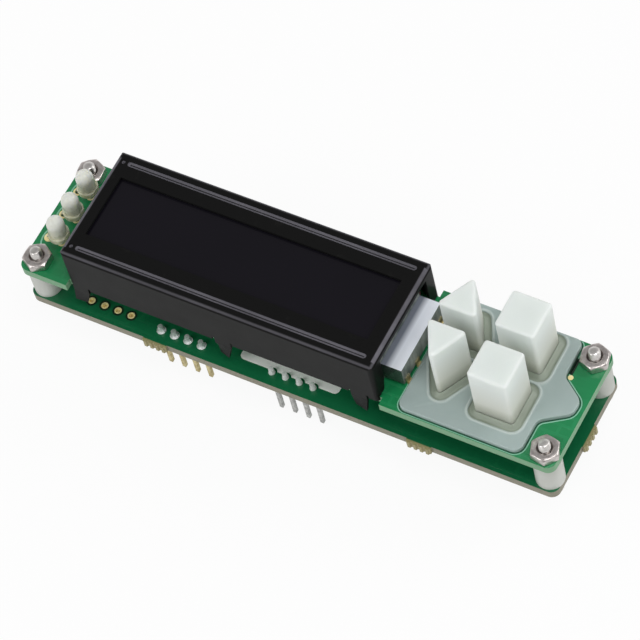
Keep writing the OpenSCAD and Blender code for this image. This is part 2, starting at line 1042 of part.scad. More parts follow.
module keypad_mat() {
    color([0.62, 0.68, 0.66])
    translate([0, 0, upper_top])
        difference() {
            union() {
                linear_extrude(mat_t)
                    polygon(rounded(mat_corners, mat_radii));
                linear_extrude(mat_t + lip_up) {
                    at_key_up()
                        polygon(arrow_outline(web_w + lip_w));
                    at_key_down()
                        polygon(arrow_outline(web_w + lip_w));
                    at_key_enter()
                        polygon(square_outline(web_w + lip_w));
                    at_key_cancel()
                        polygon(square_outline(web_w + lip_w));
                }
            }
            translate([0, 0, -cut])
                linear_extrude(mat_t + lip_up + 2 * cut) {
                    at_key_up()
                        polygon(arrow_outline(web_w));
                    at_key_down()
                        polygon(arrow_outline(web_w));
                    at_key_enter()
                        polygon(square_outline(web_w));
                    at_key_cancel()
                        polygon(square_outline(web_w));
                }
        }
}

// Two combs whose fingers lie between each other, under one pill
module contact_pair() {
    finger_w = 0.4;
    fingers = 5;
    finger_pitch = (contact_w - finger_w) / (fingers - 1);
    for (side = [0, 1])
        rotate(180 * side) {
            translate([-contact_w / 2, -contact_w / 2])
                square([finger_w, contact_w]);
            for (i = [side : 2 : fingers - 1])
                translate([-contact_w / 2, -contact_w / 2 + (side == 0 ? i : fingers - 1 - i) * finger_pitch])
                    square([contact_w - 2 * finger_w, finger_w]);
        }
}

module key_contacts() {
    color([0.85, 0.7, 0.35])
    translate([0, 0, upper_top])
        linear_extrude(contact_t) {
            at_key_up()
                contact_pair();
            at_key_down()
                contact_pair();
            at_key_enter()
                contact_pair();
            at_key_cancel()
                contact_pair();
        }
}

// ---- Headers, solder and pads ----

// The plastic strip of a header, notched between its pins
module header(x0) {
    l = pin_count * pin_pitch - 2 * header_trim;
    middle = x0 + (pin_count - 1) * pin_pitch / 2;
    color([0.1, 0.1, 0.1])
    difference() {
        translate([middle, -header_y, lower_bottom - header_h])
            linear_extrude(header_h)
                difference() {
                    square([l, header_w], center = true);
                    for (i = [0:pin_count], side = [-1, 1])
                        translate([(i - pin_count / 2) * pin_pitch, side * header_w / 2])
                            rotate(45)
                                square(header_chamfer * sqrt(2), center = true);
                }
        for (i = [0:pin_count - 1])
            translate([x0 + i * pin_pitch, -header_y, lower_bottom - header_h / 2])
                cube([pin_w, pin_w, header_h + 2 * cut], center = true);
    }
}

module header_left() {
    header(left_header_x);
}

module header_right() {
    header(right_header_x);
}

// Side view of a pin with both ends pointed
module pin_side(low, high) {
    half = pin_w / 2;
    polygon([
        [-half, low + pin_tip],
        [-half * 0.4, low],
        [half * 0.4, low],
        [half, low + pin_tip],
        [half, high - pin_tip / 2],
        [half * 0.5, high],
        [-half * 0.5, high],
        [-half, high - pin_tip / 2]
    ]);
}

module pins(x0, below) {
    low = lower_bottom - below;
    high = lower_top + pin_up;
    for (i = [0:pin_count - 1])
        translate([x0 + i * pin_pitch, -header_y, 0])
            intersection() {
                translate([0, pin_w, 0])
                    rotate([90, 0, 0])
                        linear_extrude(2 * pin_w)
                            pin_side(low, high);
                translate([-pin_w, 0, 0])
                    rotate([90, 0, 90])
                        linear_extrude(2 * pin_w)
                            pin_side(low, high);
            }
}

module pins_left() {
    color([0.85, 0.75, 0.5])
    pins(left_header_x, pins_left_h);
}

module pins_right() {
    color([0.7, 0.7, 0.7])
    pins(right_header_x, pins_right_h);
}

// Solder cones round the header pins and under the lights' leads
module solder_joints() {
    color([0.78, 0.78, 0.78]) {
        for (x = header_pins_x)
            translate([x, -header_y, lower_top])
                difference() {
                    cylinder(r1 = cone_r, r2 = cone_top_r, h = cone_h);
                    cube([pin_w, pin_w, 4 * cone_h], center = true);
                }
        for (x = leads_x, y = lights_y)
            translate([x, y, upper_bottom])
                mirror([0, 0, 1])
                    difference() {
                        cylinder(r1 = cone_r, r2 = cone_top_r, h = lead_under - 0.2);
                        cube([lead_w, lead_w, 4 * lead_under], center = true);
                    }
    }
}

module ring_pad(x, y, z, d, bore) {
    translate([x, y, z])
        difference() {
            cylinder(d = d, h = pad_t);
            translate([0, 0, -cut])
                cylinder(d = bore, h = pad_t + 2 * cut);
        }
}

// A hole's gold wall with a ring at each end
module plated_hole(x) {
    bore = pin_hole_d - 2 * plating_t;
    ring_pad(x, -spare_y, lower_top, pad_d, bore);
    ring_pad(x, -spare_y, lower_bottom - pad_t, pad_d, bore);
    translate([x, -spare_y, lower_bottom - pad_t])
        difference() {
            cylinder(d = pin_hole_d - 0.02, h = board_t + 2 * pad_t);
            translate([0, 0, -cut])
                cylinder(d = bore, h = board_t + 2 * pad_t + 2 * cut);
        }
}

// Gold in the spare holes, round the lights' lead holes and beside the mat
module plated_pads() {
    color([0.87, 0.72, 0.38]) {
        for (x = spare_pads_x)
            plated_hole(x);
        for (x = leads_x, y = lights_y)
            ring_pad(x, y, upper_top, pad_d - 0.1, pin_hole_d);
        translate([mat_right + spot_out, tongue_y + tongue_root / 2 + spot_up, upper_top])
            cylinder(d = spot_d, h = pad_t);
    }
}

// A blank paper label just behind the right header's solder cones
module blank_label() {
    corners = [
        [label_left, -label_front],
        [label_right, -label_front],
        [label_right, label_d - label_front],
        [label_left, label_d - label_front]
    ];
    color([0.93, 0.93, 0.92])
    translate([0, 0, lower_top])
        difference() {
            linear_extrude(label_t)
                polygon(rounded(corners, same(corners, label_r)));
            for (x = header_pins_x)
                translate([x, -header_y, -cut])
                    cylinder(r = cone_r + 0.1, h = label_t + 2 * cut);
        }
}

// ---- The link between the boards ----

module link_socket() {
    l = link_count * link_pitch;
    color([0.1, 0.1, 0.1])
    difference() {
        translate([link_x, link_y, lower_top])
            linear_extrude(socket_h)
                square([l, link_w], center = true);
        for (i = [0:link_count - 1])
            translate([link_pin_x(i), link_y, lower_top + socket_h - link_depth - 2 * link_play])
                linear_extrude(socket_h)
                    square(link_hole_w, center = true);
    }
}

function link_pin_x(i) = link_x + (i - (link_count - 1) / 2) * link_pitch;

module link_plug() {
    l = link_count * link_pitch;
    color([0.1, 0.1, 0.1])
    difference() {
        translate([link_x, link_y, lower_top + socket_h])
            linear_extrude(board_gap - socket_h)
                square([l, link_w], center = true);
        for (i = [0:link_count - 1])
            translate([link_pin_x(i), link_y, lower_top])
                linear_extrude(board_gap + cut)
                    square(link_pin_w + 2 * link_play, center = true);
    }
}

// Pins from the plug into the socket, ending at the board that carries them
module link_pins() {
    color([0.8, 0.75, 0.6])
    for (i = [0:link_count - 1])
        translate([link_pin_x(i), link_y, lower_top + socket_h - link_depth])
            linear_extrude(board_gap - socket_h + link_depth)
                square(link_pin_w, center = true);
}

// ---- Parts hidden under the boards ----

// Domes of resin over the display's driver chips
module driver_caps() {
    dome_r = (cap_d * cap_d / 4 + cap_h * cap_h) / (2 * cap_h);
    color([0.06, 0.06, 0.06])
    for (x = caps_x)
        translate([x, 0, upper_bottom])
            intersection() {
                translate([0, 0, dome_r - cap_h])
                    sphere(dome_r, $fn = 160);
                translate([0, 0, -cap_h])
                    cylinder(d = cap_d + 1, h = cap_h, $fn = 160);
            }
}

module controller() {
    color([0.08, 0.08, 0.08])
    translate([controller_x, 0, lower_bottom - controller_lift - controller_h])
        linear_extrude(controller_h)
            square(controller_w, center = true);
}

// Side view of a gull-wing leg, from the package's side down to the board
module leg_side() {
    polygon([
        [0, controller_h / 2 + controller_lift],
        [0, controller_h / 2 + controller_lift + leg_t],
        [leg_out / 2 + leg_t, controller_h / 2 + controller_lift + leg_t],
        [leg_out / 2 + leg_t, leg_t],
        [leg_out, leg_t],
        [leg_out, 0],
        [leg_out / 2, 0],
        [leg_out / 2, controller_h / 2 + controller_lift]
    ]);
}

module controller_legs() {
    color([0.75, 0.75, 0.75])
    translate([controller_x, 0, lower_bottom])
        mirror([0, 0, 1])
            for (turn = [0, 90, 180, 270], i = [0:leg_count - 1])
                rotate(turn)
                    translate([controller_w / 2, (i - (leg_count - 1) / 2) * leg_pitch + leg_w / 2, 0])
                        rotate([90, 0, 0])
                            linear_extrude(leg_w)
                                leg_side();
}

module crystal() {
    color([0.75, 0.75, 0.76])
    translate([crystal_x, 0, lower_bottom - crystal_h])
        linear_extrude(crystal_h) {
            square([crystal_d, crystal_l], center = true);
            for (side = [-1, 1])
                translate([0, side * crystal_l / 2])
                    circle(d = crystal_d);
        }
}

module regulator() {
    half_l = regulator_l / 2;
    half_w = regulator_w / 2;
    half_lead = regulator_lead_w / 2;
    color([0.08, 0.08, 0.08])
    translate([regulator_x, regulator_y, lower_bottom]) {
        block([-half_l, -half_w, -regulator_h], [half_l, half_w, -regulator_lift]);
        block([-regulator_tab_w / 2, half_w, -regulator_lead_h],
            [regulator_tab_w / 2, half_w + regulator_lead_out, 0]);
        for (x = [-regulator_pitch, 0, regulator_pitch])
            block([x - half_lead, -half_w - regulator_lead_out, -regulator_lead_h],
                [x + half_lead, -half_w, 0]);
    }
}

module chip_part(x, y, l, w, h) {
    translate([x, y, lower_bottom - h])
        linear_extrude(h)
            square([l, w], center = true);
}

module chip_parts() {
    color([0.55, 0.45, 0.35]) {
        for (i = [0:2])
            chip_part(regulator_x + resistors_off + i * resistor_pitch, resistors_y,
                resistor_l, resistor_w, resistor_h);
        for (i = [0:1])
            chip_part(controller_x - small_chips_off + i * resistor_pitch, small_chips_y,
                small_chip_l, small_chip_w, small_chip_h);
        for (i = [-1:1])
            chip_part(crystal_x + column_off, i * column_pitch, resistor_l, resistor_w, resistor_h);
    }
}

lower_board();
upper_board();
spacer_front_left();
spacer_front_right();
spacer_back_left();
spacer_back_right();
screws();
nuts();
bezel();
front_polariser();
front_glass();
rear_glass();
rear_polariser();
zebra_front();
zebra_back();
backlight();
backlight_tabs();
light_front();
light_middle();
light_back();
light_leads();
keypad_mat();
key_up();
key_down();
key_enter();
key_cancel();
web_up();
web_down();
web_enter();
web_cancel();
pill_up();
pill_down();
pill_enter();
pill_cancel();
key_contacts();
header_left();
header_right();
pins_left();
pins_right();
solder_joints();
plated_pads();
blank_label();
link_socket();
link_plug();
link_pins();
driver_caps();
controller();
controller_legs();
crystal();
regulator();
chip_parts();
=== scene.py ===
"""Looks of a character display module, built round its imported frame.

Lengths are metres; MM turns millimetres into metres. Places come from the frame's boxes.
"""
import math

import bmesh
import bpy
from mathutils import Matrix, Vector
from mathutils.geometry import delaunay_2d_cdt, tessellate_polygon


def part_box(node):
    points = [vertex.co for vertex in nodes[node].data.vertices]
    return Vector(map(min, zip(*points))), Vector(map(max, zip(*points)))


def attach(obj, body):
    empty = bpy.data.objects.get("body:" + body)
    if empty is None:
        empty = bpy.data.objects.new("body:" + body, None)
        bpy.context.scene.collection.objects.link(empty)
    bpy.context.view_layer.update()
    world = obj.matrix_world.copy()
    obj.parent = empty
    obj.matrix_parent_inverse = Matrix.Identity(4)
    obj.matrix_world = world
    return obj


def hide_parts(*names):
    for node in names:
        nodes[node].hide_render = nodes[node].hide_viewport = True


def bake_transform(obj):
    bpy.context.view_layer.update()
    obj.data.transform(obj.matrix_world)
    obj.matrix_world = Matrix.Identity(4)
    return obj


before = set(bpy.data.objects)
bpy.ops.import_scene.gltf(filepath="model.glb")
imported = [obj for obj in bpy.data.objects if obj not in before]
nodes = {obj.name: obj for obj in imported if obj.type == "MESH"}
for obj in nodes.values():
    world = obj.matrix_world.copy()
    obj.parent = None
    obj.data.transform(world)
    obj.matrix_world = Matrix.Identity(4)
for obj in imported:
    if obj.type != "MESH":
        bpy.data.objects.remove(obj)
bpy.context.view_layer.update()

MM = 0.001
ROOT = "module"

# Levels shared by many pieces
UPPER_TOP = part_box("upper_board")[1].z
UPPER_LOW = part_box("upper_board")[0].z
LOWER_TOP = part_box("lower_board")[1].z
LOWER_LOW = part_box("lower_board")[0].z
FLOOR_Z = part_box("pins_right")[0].z


# -------------------- colour and nodes

def srgb(r, g, b):
    """Linear colour of an sRGB colour given from 0 to 255."""
    def linear(c):
        c = c / 255
        return c / 12.92 if c <= 0.04045 else ((c + 0.055) / 1.055) ** 2.4
    return (linear(r), linear(g), linear(b), 1.0)


class Look:
    """A node material with short calls for the textures that most of the pieces use."""

    def __init__(self, name, colour, rough=0.5, metal=0.0, **inputs):
        """inputs sets the shader's other inputs, with underscores for the spaces in their names."""
        self.mat = bpy.data.materials.new(name)
        self.mat.use_nodes = True
        self.tree = self.mat.node_tree
        self.bsdf = self.tree.nodes["Principled BSDF"]
        self.bsdf.inputs["Base Color"].default_value = colour
        self.bsdf.inputs["Roughness"].default_value = rough
        self.bsdf.inputs["Metallic"].default_value = metal
        for name_of_input, value in inputs.items():
            self.bsdf.inputs[name_of_input.replace("_", " ")].default_value = value
        self.coord = self.add("ShaderNodeTexCoord").outputs["Object"]
        self.normal = None

    def add(self, kind, **settings):
        node = self.tree.nodes.new(kind)
        for key, value in settings.items():
            setattr(node, key, value)
        return node

    def link(self, source, target):
        self.tree.links.new(source, target)

    def noise(self, scale, detail=3.0, rough=0.5, stretch=None):
        """Noise of so many cells a metre, stretched by factors along X, Y and Z."""
        node = self.add("ShaderNodeTexNoise")
        node.inputs["Scale"].default_value = scale
        node.inputs["Detail"].default_value = detail
        node.inputs["Roughness"].default_value = rough
        vector = self.coord
        if stretch:
            mapping = self.add("ShaderNodeMapping")
            mapping.inputs["Scale"].default_value = stretch
            self.link(vector, mapping.inputs["Vector"])
            vector = mapping.outputs["Vector"]
        self.link(vector, node.inputs["Vector"])
        return node.outputs["Fac"]

    def ramp(self, value, low, high):
        """value mapped so that low becomes 0 and high becomes 1."""
        node = self.add("ShaderNodeMapRange", clamp=True)
        node.inputs["From Min"].default_value = low
        node.inputs["From Max"].default_value = high
        self.link(value, node.inputs["Value"])
        return node.outputs["Result"]

    def between(self, value, low, high):
        """value from 0 to 1 mapped to the range from low to high."""
        node = self.add("ShaderNodeMapRange", clamp=True)
        node.inputs["To Min"].default_value = low
        node.inputs["To Max"].default_value = high
        self.link(value, node.inputs["Value"])
        return node.outputs["Result"]

    def mix(self, value, a, b):
        """Colour between a and b, each a colour or a socket."""
        node = self.add("ShaderNodeMix", data_type="RGBA")
        for socket, colour in ((node.inputs[6], a), (node.inputs[7], b)):
            if isinstance(colour, tuple):
                socket.default_value = colour
            else:
                self.link(colour, socket)
        self.link(value, node.inputs[0])
        return node.outputs[2]

    def math(self, operation, a, b):
        node = self.add("ShaderNodeMath", operation=operation)
        for socket, value in zip(node.inputs, (a, b)):
            if isinstance(value, (int, float)):
                socket.default_value = value
            else:
                self.link(value, socket)
        return node.outputs[0]

    def colour(self, socket):
        self.link(socket, self.bsdf.inputs["Base Color"])

    def rough(self, socket):
        self.link(socket, self.bsdf.inputs["Roughness"])

    def bump(self, height, distance, strength=1.0):
        node = self.add("ShaderNodeBump")
        node.inputs["Strength"].default_value = strength
        node.inputs["Distance"].default_value = distance
        self.link(height, node.inputs["Height"])
        if self.normal:
            self.link(self.normal, node.inputs["Normal"])
        self.normal = node.outputs["Normal"]
        self.link(self.normal, self.bsdf.inputs["Normal"])

    def split(self, vector, axis):
        """One part of a vector."""
        node = self.add("ShaderNodeSeparateXYZ")
        self.link(vector, node.inputs[0])
        return node.outputs[axis]

    def position(self, axis):
        """Place along an axis, in metres."""
        return self.split(self.coord, axis)

    def facing(self, axis):
        """How far a face looks along an axis, from -1 to 1."""
        return self.split(self.add("ShaderNodeNewGeometry").outputs["Normal"], axis)

    def facing_up(self):
        """1 on faces that look up or down, 0 on upright ones."""
        return self.ramp(self.math("ABSOLUTE", self.facing("Z"), 0), 0.45, 0.55)


# -------------------- materials

# From the lower board's side to where the stubs' colour starts, and to where it is full
STUB_DEPTH = (0.66 * MM, 0.5 * MM)


def board_look(name, mask, mask_light, edge, edge_light, stubs=None):
    """Green solder mask over faint copper tracks, with bare glass-fibre edges.

    stubs is the colour of the break-off stubs on the lower board's sides.
    """
    look = Look(name, mask, rough=0.32, Coat_Weight=0.25, Coat_Roughness=0.2)
    patch = look.ramp(look.noise(60, 2), 0.4, 0.6)
    tracks = look.add("ShaderNodeTexBrick")
    tracks.inputs["Scale"].default_value = 140
    tracks.inputs["Mortar Size"].default_value = 0.035
    look.link(look.coord, tracks.inputs["Vector"])
    copper = look.math("MULTIPLY", tracks.outputs["Fac"], patch)
    face = look.mix(look.between(look.noise(25, 2), 0.0, 0.6), mask, mask_light)
    face = look.mix(look.math("MULTIPLY", copper, 0.5), face, mask_light)
    fibre = look.mix(look.noise(900, 4, stretch=(1, 1, 6)), edge, edge_light)
    colour = look.mix(look.facing_up(), fibre, face)
    if stubs:
        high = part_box("lower_board")[1]
        beyond = []
        for axis, side in (("X", high.x), ("Y", high.y)):
            off_middle = look.math("ABSOLUTE", look.position(axis), 0)
            beyond.append(look.ramp(off_middle, side - STUB_DEPTH[0], side - STUB_DEPTH[1]))
        colour = look.mix(look.math("MAXIMUM", *beyond), colour, stubs)
    look.colour(colour)
    look.rough(look.mix(look.facing_up(), (0.75, 0.75, 0.75, 1), (0.3, 0.3, 0.3, 1)))
    look.bump(copper, 0.03 * MM, 0.6)
    look.bump(look.noise(2500, 2), 0.01 * MM, 0.25)
    return look.mat


def metal_look(name, colour, dark, rough=0.3, grain=1500, metal=1.0):
    """Metal that is darker in patches; grain is the patches' count in a metre."""
    look = Look(name, colour, rough=rough, metal=metal)
    look.colour(look.mix(look.ramp(look.noise(grain, 4), 0.35, 0.75), colour, dark))
    look.rough(look.between(look.noise(grain / 2, 3), rough * 0.75, rough * 1.3))
    look.bump(look.noise(grain * 2, 3), 0.006 * MM, 0.35)
    return look.mat


def gold_look():
    """Thin matt gold on copper pads, shaded without mirroring so that it stays pale."""
    look = Look("gold_plate", srgb(250, 230, 168), rough=0.34)
    patch = look.ramp(look.noise(1500, 4), 0.35, 0.75)
    look.colour(look.mix(patch, srgb(255, 242, 184), srgb(252, 226, 152)))
    look.rough(look.between(look.noise(900, 3), 0.34, 0.5))
    look.bump(look.noise(3000, 3), 0.006 * MM, 0.35)
    return look.mat


def plastic_look(name, colour, shade, rough=0.5, grain=900, depth=0.01):
    """Plain plastic or paint; depth is its grain's height in millimetres."""
    look = Look(name, colour, rough=rough)
    look.colour(look.mix(look.ramp(look.noise(grain / 8, 3), 0.35, 0.7), colour, shade))
    look.rough(look.between(look.noise(grain / 3, 3), rough * 0.85, rough * 1.15))
    look.bump(look.noise(grain * 3, 3), depth * MM, 0.4)
    return look.mat


# Distance off the middle where the painted highlight on a bead starts, and where it is full
BEAD_HIGHLIGHT_FADE = (9.4 * MM, 9.3 * MM)


def bezel_look():
    """Satin black paint on sheet metal, fine grained, with a painted highlight along its bends and
    beads.
    """
    look = Look("satin_black_paint", srgb(22, 22, 21), rough=0.34, Specular_IOR_Level=0.055)
    rub = look.ramp(look.noise(420, 5, 0.65), 0.62, 0.78)
    face = look.mix(rub, srgb(21, 21, 21), srgb(31, 31, 30))
    # painted highlight: a lighter, patchy grey on faces tilted between flat and upright (the bends)
    # and on the beads' slopes, where lamps glint
    upness = look.facing("Z")
    rising = look.ramp(upness, 0.5, 0.66)
    falling = look.ramp(upness, 0.95, 0.8)
    painted_bend_highlight = look.math("MULTIPLY", look.math("MULTIPLY", rising, falling), 0.6)
    near = look.ramp(look.math("ABSOLUTE", look.position("Y"), 0), *BEAD_HIGHLIGHT_FADE)
    bead_slope_highlight = look.math("MULTIPLY", rising, look.ramp(upness, 0.999, 0.97))
    painted_bend_highlight = look.math("MAXIMUM", painted_bend_highlight, look.math("MULTIPLY", bead_slope_highlight, near))
    patchy = look.between(look.noise(260, 4, stretch=(0.35, 1, 1)), 0.25, 1.0)
    look.colour(look.mix(look.math("MULTIPLY", painted_bend_highlight, patchy), face, srgb(120, 118, 126)))
    look.rough(look.between(look.noise(300, 4), 0.27, 0.4))
    look.bump(look.noise(5200, 3), 0.012 * MM, 0.5)
    return look.mat


def window_look():
    """Dark polariser with a faint violet sheen."""
    look = Look("dark_polariser", srgb(18, 16, 22), rough=0.14, Specular_IOR_Level=0.18)
    look.colour(look.mix(look.noise(40, 2), srgb(15, 14, 19), srgb(21, 18, 26)))
    look.rough(look.between(look.noise(200, 3), 0.1, 0.2))
    look.bump(look.noise(60, 2), 0.01 * MM, 0.2)
    return look.mat


# Below the mat's top: where the lips' painted highlight starts, and where it is full
LIP_HIGHLIGHT_FADE = (0.13 * MM, 0.04 * MM)


def silicone_look(name, colour, shade, reach, weight=0.7, rough=0.5, lip=None):
    """Soft silicone that light enters as far as reach; lip is a lighter colour painted on the tops
    of the mat's lips as a highlight.
    """
    look = Look(name, colour, rough=rough, Subsurface_Weight=weight,
                Subsurface_Radius=(1.0, 1.0, 0.9), Subsurface_Scale=reach)
    tone = look.mix(look.ramp(look.noise(160, 4), 0.3, 0.75), colour, shade)
    # painted highlight: the tops of the mat's lips are given the lighter lip colour
    if lip:
        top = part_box("keypad_mat")[1].z
        lip_highlight_mask = look.ramp(look.position("Z"), top - LIP_HIGHLIGHT_FADE[0], top - LIP_HIGHLIGHT_FADE[1])
        tone = look.mix(lip_highlight_mask, tone, lip)
    look.colour(tone)
    look.rough(look.between(look.noise(700, 3), rough * 0.85, rough * 1.15))
    look.bump(look.noise(2600, 3), 0.015 * MM, 0.35)
    return look.mat


def key_look():
    """Milky silicone, with painted shade that makes it a little darker and warmer low down, where a
    key goes down into its web.
    """
    look = Look("key_silicone", srgb(222, 227, 224), rough=0.5, Subsurface_Weight=0.8,
                Subsurface_Radius=(1.0, 1.0, 0.95), Subsurface_Scale=2.2 * MM)
    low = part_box("key_enter")[0].z
    cloud = look.between(look.noise(160, 4), 0.0, 0.35)
    body = look.mix(cloud, srgb(224, 230, 227), srgb(214, 220, 216))
    # painted shade: darker and warmer at the foot, where a key meets its web, and a little greyer
    # over its lower part
    painted_foot_shade = look.ramp(look.position("Z"), low + 0.2 * MM, low + 3.2 * MM)
    painted_low_shade = look.ramp(look.position("Z"), low + 2 * MM, low + 9 * MM)
    lower = look.mix(painted_low_shade, srgb(212, 214, 204), body)
    look.colour(look.mix(painted_foot_shade, srgb(176, 180, 166), lower))
    look.rough(look.between(look.noise(700, 3), 0.44, 0.58))
    look.bump(look.noise(2600, 3), 0.015 * MM, 0.35)
    return look.mat


def light_look():
    """Milky resin, yellower low down, with darker upright streaks where the leads go in."""
    look = Look("milky_resin", srgb(226, 227, 214), rough=0.28, Subsurface_Weight=0.8,
                Subsurface_Radius=(1.0, 0.95, 0.8), Subsurface_Scale=1.2 * MM)
    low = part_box("light_middle")[0].z
    height = look.ramp(look.position("Z"), low, low + 4 * MM)
    cloud = look.between(look.noise(520, 5), 0.0, 0.5)
    tint = look.mix(height, srgb(216, 214, 180), srgb(230, 232, 228))
    streaks = look.ramp(look.noise(650, 4, 0.6, (1, 1, 0.3)), 0.42, 0.68)
    low_down = look.ramp(look.position("Z"), low + 3.6 * MM, low + 2.2 * MM)
    low_streaks = look.math("MULTIPLY", streaks, low_down)
    tint = look.mix(look.math("MULTIPLY", low_streaks, 0.7), tint, srgb(142, 146, 124))
    look.colour(look.mix(cloud, tint, srgb(178, 180, 160)))
    look.rough(look.between(look.noise(900, 3), 0.2, 0.36))
    look.bump(look.noise(1500, 3), 0.02 * MM, 0.3)
    return look.mat


def guide_look():
    """Clear light guide under a bright sheet: pale on top, smoky at its cut sides, with painted
    shade on its front side and a painted shadow where it leaves the bezel.
    """
    look = Look("clear_light_guide", srgb(150, 156, 152), rough=0.2)
    cloud = look.ramp(look.noise(420, 4, 0.6, (1, 1, 0.3)), 0.35, 0.7)
    side = look.mix(cloud, srgb(84, 94, 90), srgb(160, 166, 160))
    # painted shade: the sides that look to the front are darker
    front = look.ramp(look.facing("Y"), -0.4, -0.8)
    side = look.mix(front, side, srgb(52, 64, 58))
    sheet = look.mix(look.noise(180, 3), srgb(246, 250, 255), srgb(234, 240, 252))
    # painted shadow: the sheet is darker where it comes out from under the bezel
    bezel_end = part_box("bezel")[1].x
    beyond_bezel_shadow = look.ramp(look.position("X"), bezel_end - 0.2 * MM, bezel_end + 0.9 * MM)
    sheet = look.mix(beyond_bezel_shadow, srgb(120, 126, 138), sheet)
    look.colour(look.mix(look.facing_up(), side, sheet))
    look.rough(look.between(look.noise(500, 3), 0.16, 0.26))
    look.bump(look.noise(900, 3), 0.01 * MM, 0.3)
    return look.mat


def clear_look(name, colour, rough=0.25, weight=0.5):
    """Clear plastic or glass, of which weight is the share that light passes through."""
    look = Look(name, colour, rough=rough, Transmission_Weight=weight, IOR=1.49)
    shade = tuple(c * 0.85 for c in colour[:3]) + (1.0,)
    look.colour(look.mix(look.noise(300, 3), colour, shade))
    look.rough(look.between(look.noise(500, 3), rough * 0.8, rough * 1.3))
    look.bump(look.noise(900, 3), 0.01 * MM, 0.3)
    return look.mat


def stripes_look():
    """Connector strip: dark conducting layers between soft pink ones."""
    look = Look("striped_rubber", srgb(205, 140, 150), rough=0.6)
    wave = look.add("ShaderNodeTexWave", wave_type="BANDS", bands_direction="X")
    wave.inputs["Scale"].default_value = 1500
    look.link(look.coord, wave.inputs["Vector"])
    layer = look.ramp(wave.outputs["Fac"], 0.45, 0.55)
    look.colour(look.mix(layer, srgb(30, 30, 30), srgb(205, 150, 158)))
    look.bump(look.noise(2000, 2), 0.01 * MM, 0.3)
    return look.mat


LOOKS = {
    "board_upper": board_look("upper_board_mask", srgb(12, 124, 70), srgb(34, 142, 88),
                              srgb(100, 150, 112), srgb(128, 170, 134)),
    "board_lower": board_look("lower_board_mask", srgb(10, 92, 56), srgb(20, 108, 66),
                              srgb(150, 146, 128), srgb(120, 116, 100), srgb(158, 149, 108)),
    "nylon": plastic_look("white_nylon", srgb(198, 200, 194), srgb(186, 188, 181), 0.42),
    "steel": metal_look("plated_steel", srgb(218, 211, 208), srgb(176, 168, 165), 0.3),
    # the screws' steel is paler than the nuts' steel as a painted highlight on the screw ends
    "screw": metal_look("screw_steel_painted_highlight", srgb(232, 229, 226), srgb(196, 192, 188), 0.34),
    "bezel": bezel_look(),
    "window": window_look(),
    "glass": clear_look("display_glass", srgb(90, 96, 100), 0.1, 0.4),
    "stripes": stripes_look(),
    "backlight": guide_look(),
    "solder_tab": metal_look("tinned_tab", srgb(228, 218, 178), srgb(178, 166, 120), 0.35),
    "light": light_look(),
    "tin": metal_look("tinned_wire", srgb(205, 205, 202), srgb(150, 150, 148), 0.28),
    "mat": silicone_look("mat_silicone", srgb(168, 183, 180), srgb(156, 172, 169),
                         0.5 * MM, 0.4, 0.42, lip=srgb(186, 197, 193)),
    "web": silicone_look("thin_web_silicone", srgb(152, 162, 148), srgb(138, 148, 132),
                         0.3 * MM, 0.3, 0.4),
    "key": key_look(),
    "carbon": plastic_look("carbon_rubber", srgb(26, 26, 26), srgb(40, 40, 40), 0.6),
    "gold": gold_look(),
    "pin_gold": metal_look("pale_gold_pin", srgb(222, 208, 158), srgb(172, 152, 96), 0.25),
    "black": plastic_look("black_moulding", srgb(24, 24, 24), srgb(34, 34, 34), 0.45),
    "solder": metal_look("bright_solder", srgb(250, 252, 252), srgb(206, 208, 208),
                         0.24, 2200, metal=0.6),
    "dull_solder": plastic_look("dull_solder", srgb(236, 238, 236), srgb(206, 210, 206), 0.3, 2200),
    # darker steel for the nuts' countersinks: painted shade in the recesses
    "countersink": metal_look("shaded_steel", srgb(166, 158, 154), srgb(120, 112, 108), 0.36),
    "paper": plastic_look("blank_label_film", srgb(255, 254, 252), srgb(250, 248, 245),
                          0.5, 1400, 0.006),
    "resin": plastic_look("potting_resin", srgb(20, 20, 20), srgb(32, 32, 32), 0.3, 400, 0.03),
    "can": metal_look("drawn_can", srgb(200, 200, 200), srgb(150, 150, 150), 0.3),
    "ceramic": plastic_look("ceramic_chip", srgb(150, 120, 92), srgb(128, 98, 72), 0.55),
    "print": plastic_look("mint_print", srgb(150, 206, 180), srgb(124, 188, 156), 0.45, 3000),
    "rim": plastic_look("mask_edge", srgb(10, 34, 20), srgb(16, 46, 28), 0.4, 3000),
    # dark green band along the mat's edge, inside the printed line: painted shadow
    "mat_edge_shadow": plastic_look("painted_shadow_green", srgb(20, 74, 52), srgb(30, 92, 62), 0.4, 3000),
}

NODE_LOOKS = {
    "lower_board": "board_lower", "upper_board": "board_upper",
    "spacer_front_left": "nylon", "spacer_front_right": "nylon",
    "spacer_back_left": "nylon", "spacer_back_right": "nylon",
    "screws": "steel", "nuts": "steel", "bezel": "bezel", "front_polariser": "window",
    "front_glass": "glass", "rear_glass": "glass", "rear_polariser": "window",
    "zebra_front": "stripes", "zebra_back": "stripes", "backlight": "backlight",
    "backlight_tabs": "solder_tab", "light_front": "light", "light_middle": "light",
    "light_back": "light", "light_leads": "tin", "keypad_mat": "mat",
    "key_up": "key", "key_down": "key", "key_enter": "key", "key_cancel": "key",
    "web_up": "web", "web_down": "web", "web_enter": "web", "web_cancel": "web",
    "pill_up": "carbon", "pill_down": "carbon", "pill_enter": "carbon", "pill_cancel": "carbon",
    "key_contacts": "gold", "header_left": "black", "header_right": "black",
    "pins_left": "pin_gold", "pins_right": "tin", "solder_joints": "solder",
    "plated_pads": "gold", "blank_label": "paper", "link_socket": "black",
    "link_plug": "black", "link_pins": "pin_gold", "driver_caps": "resin",
    "controller": "black", "controller_legs": "tin", "crystal": "can",
    "regulator": "black", "chip_parts": "ceramic",
}


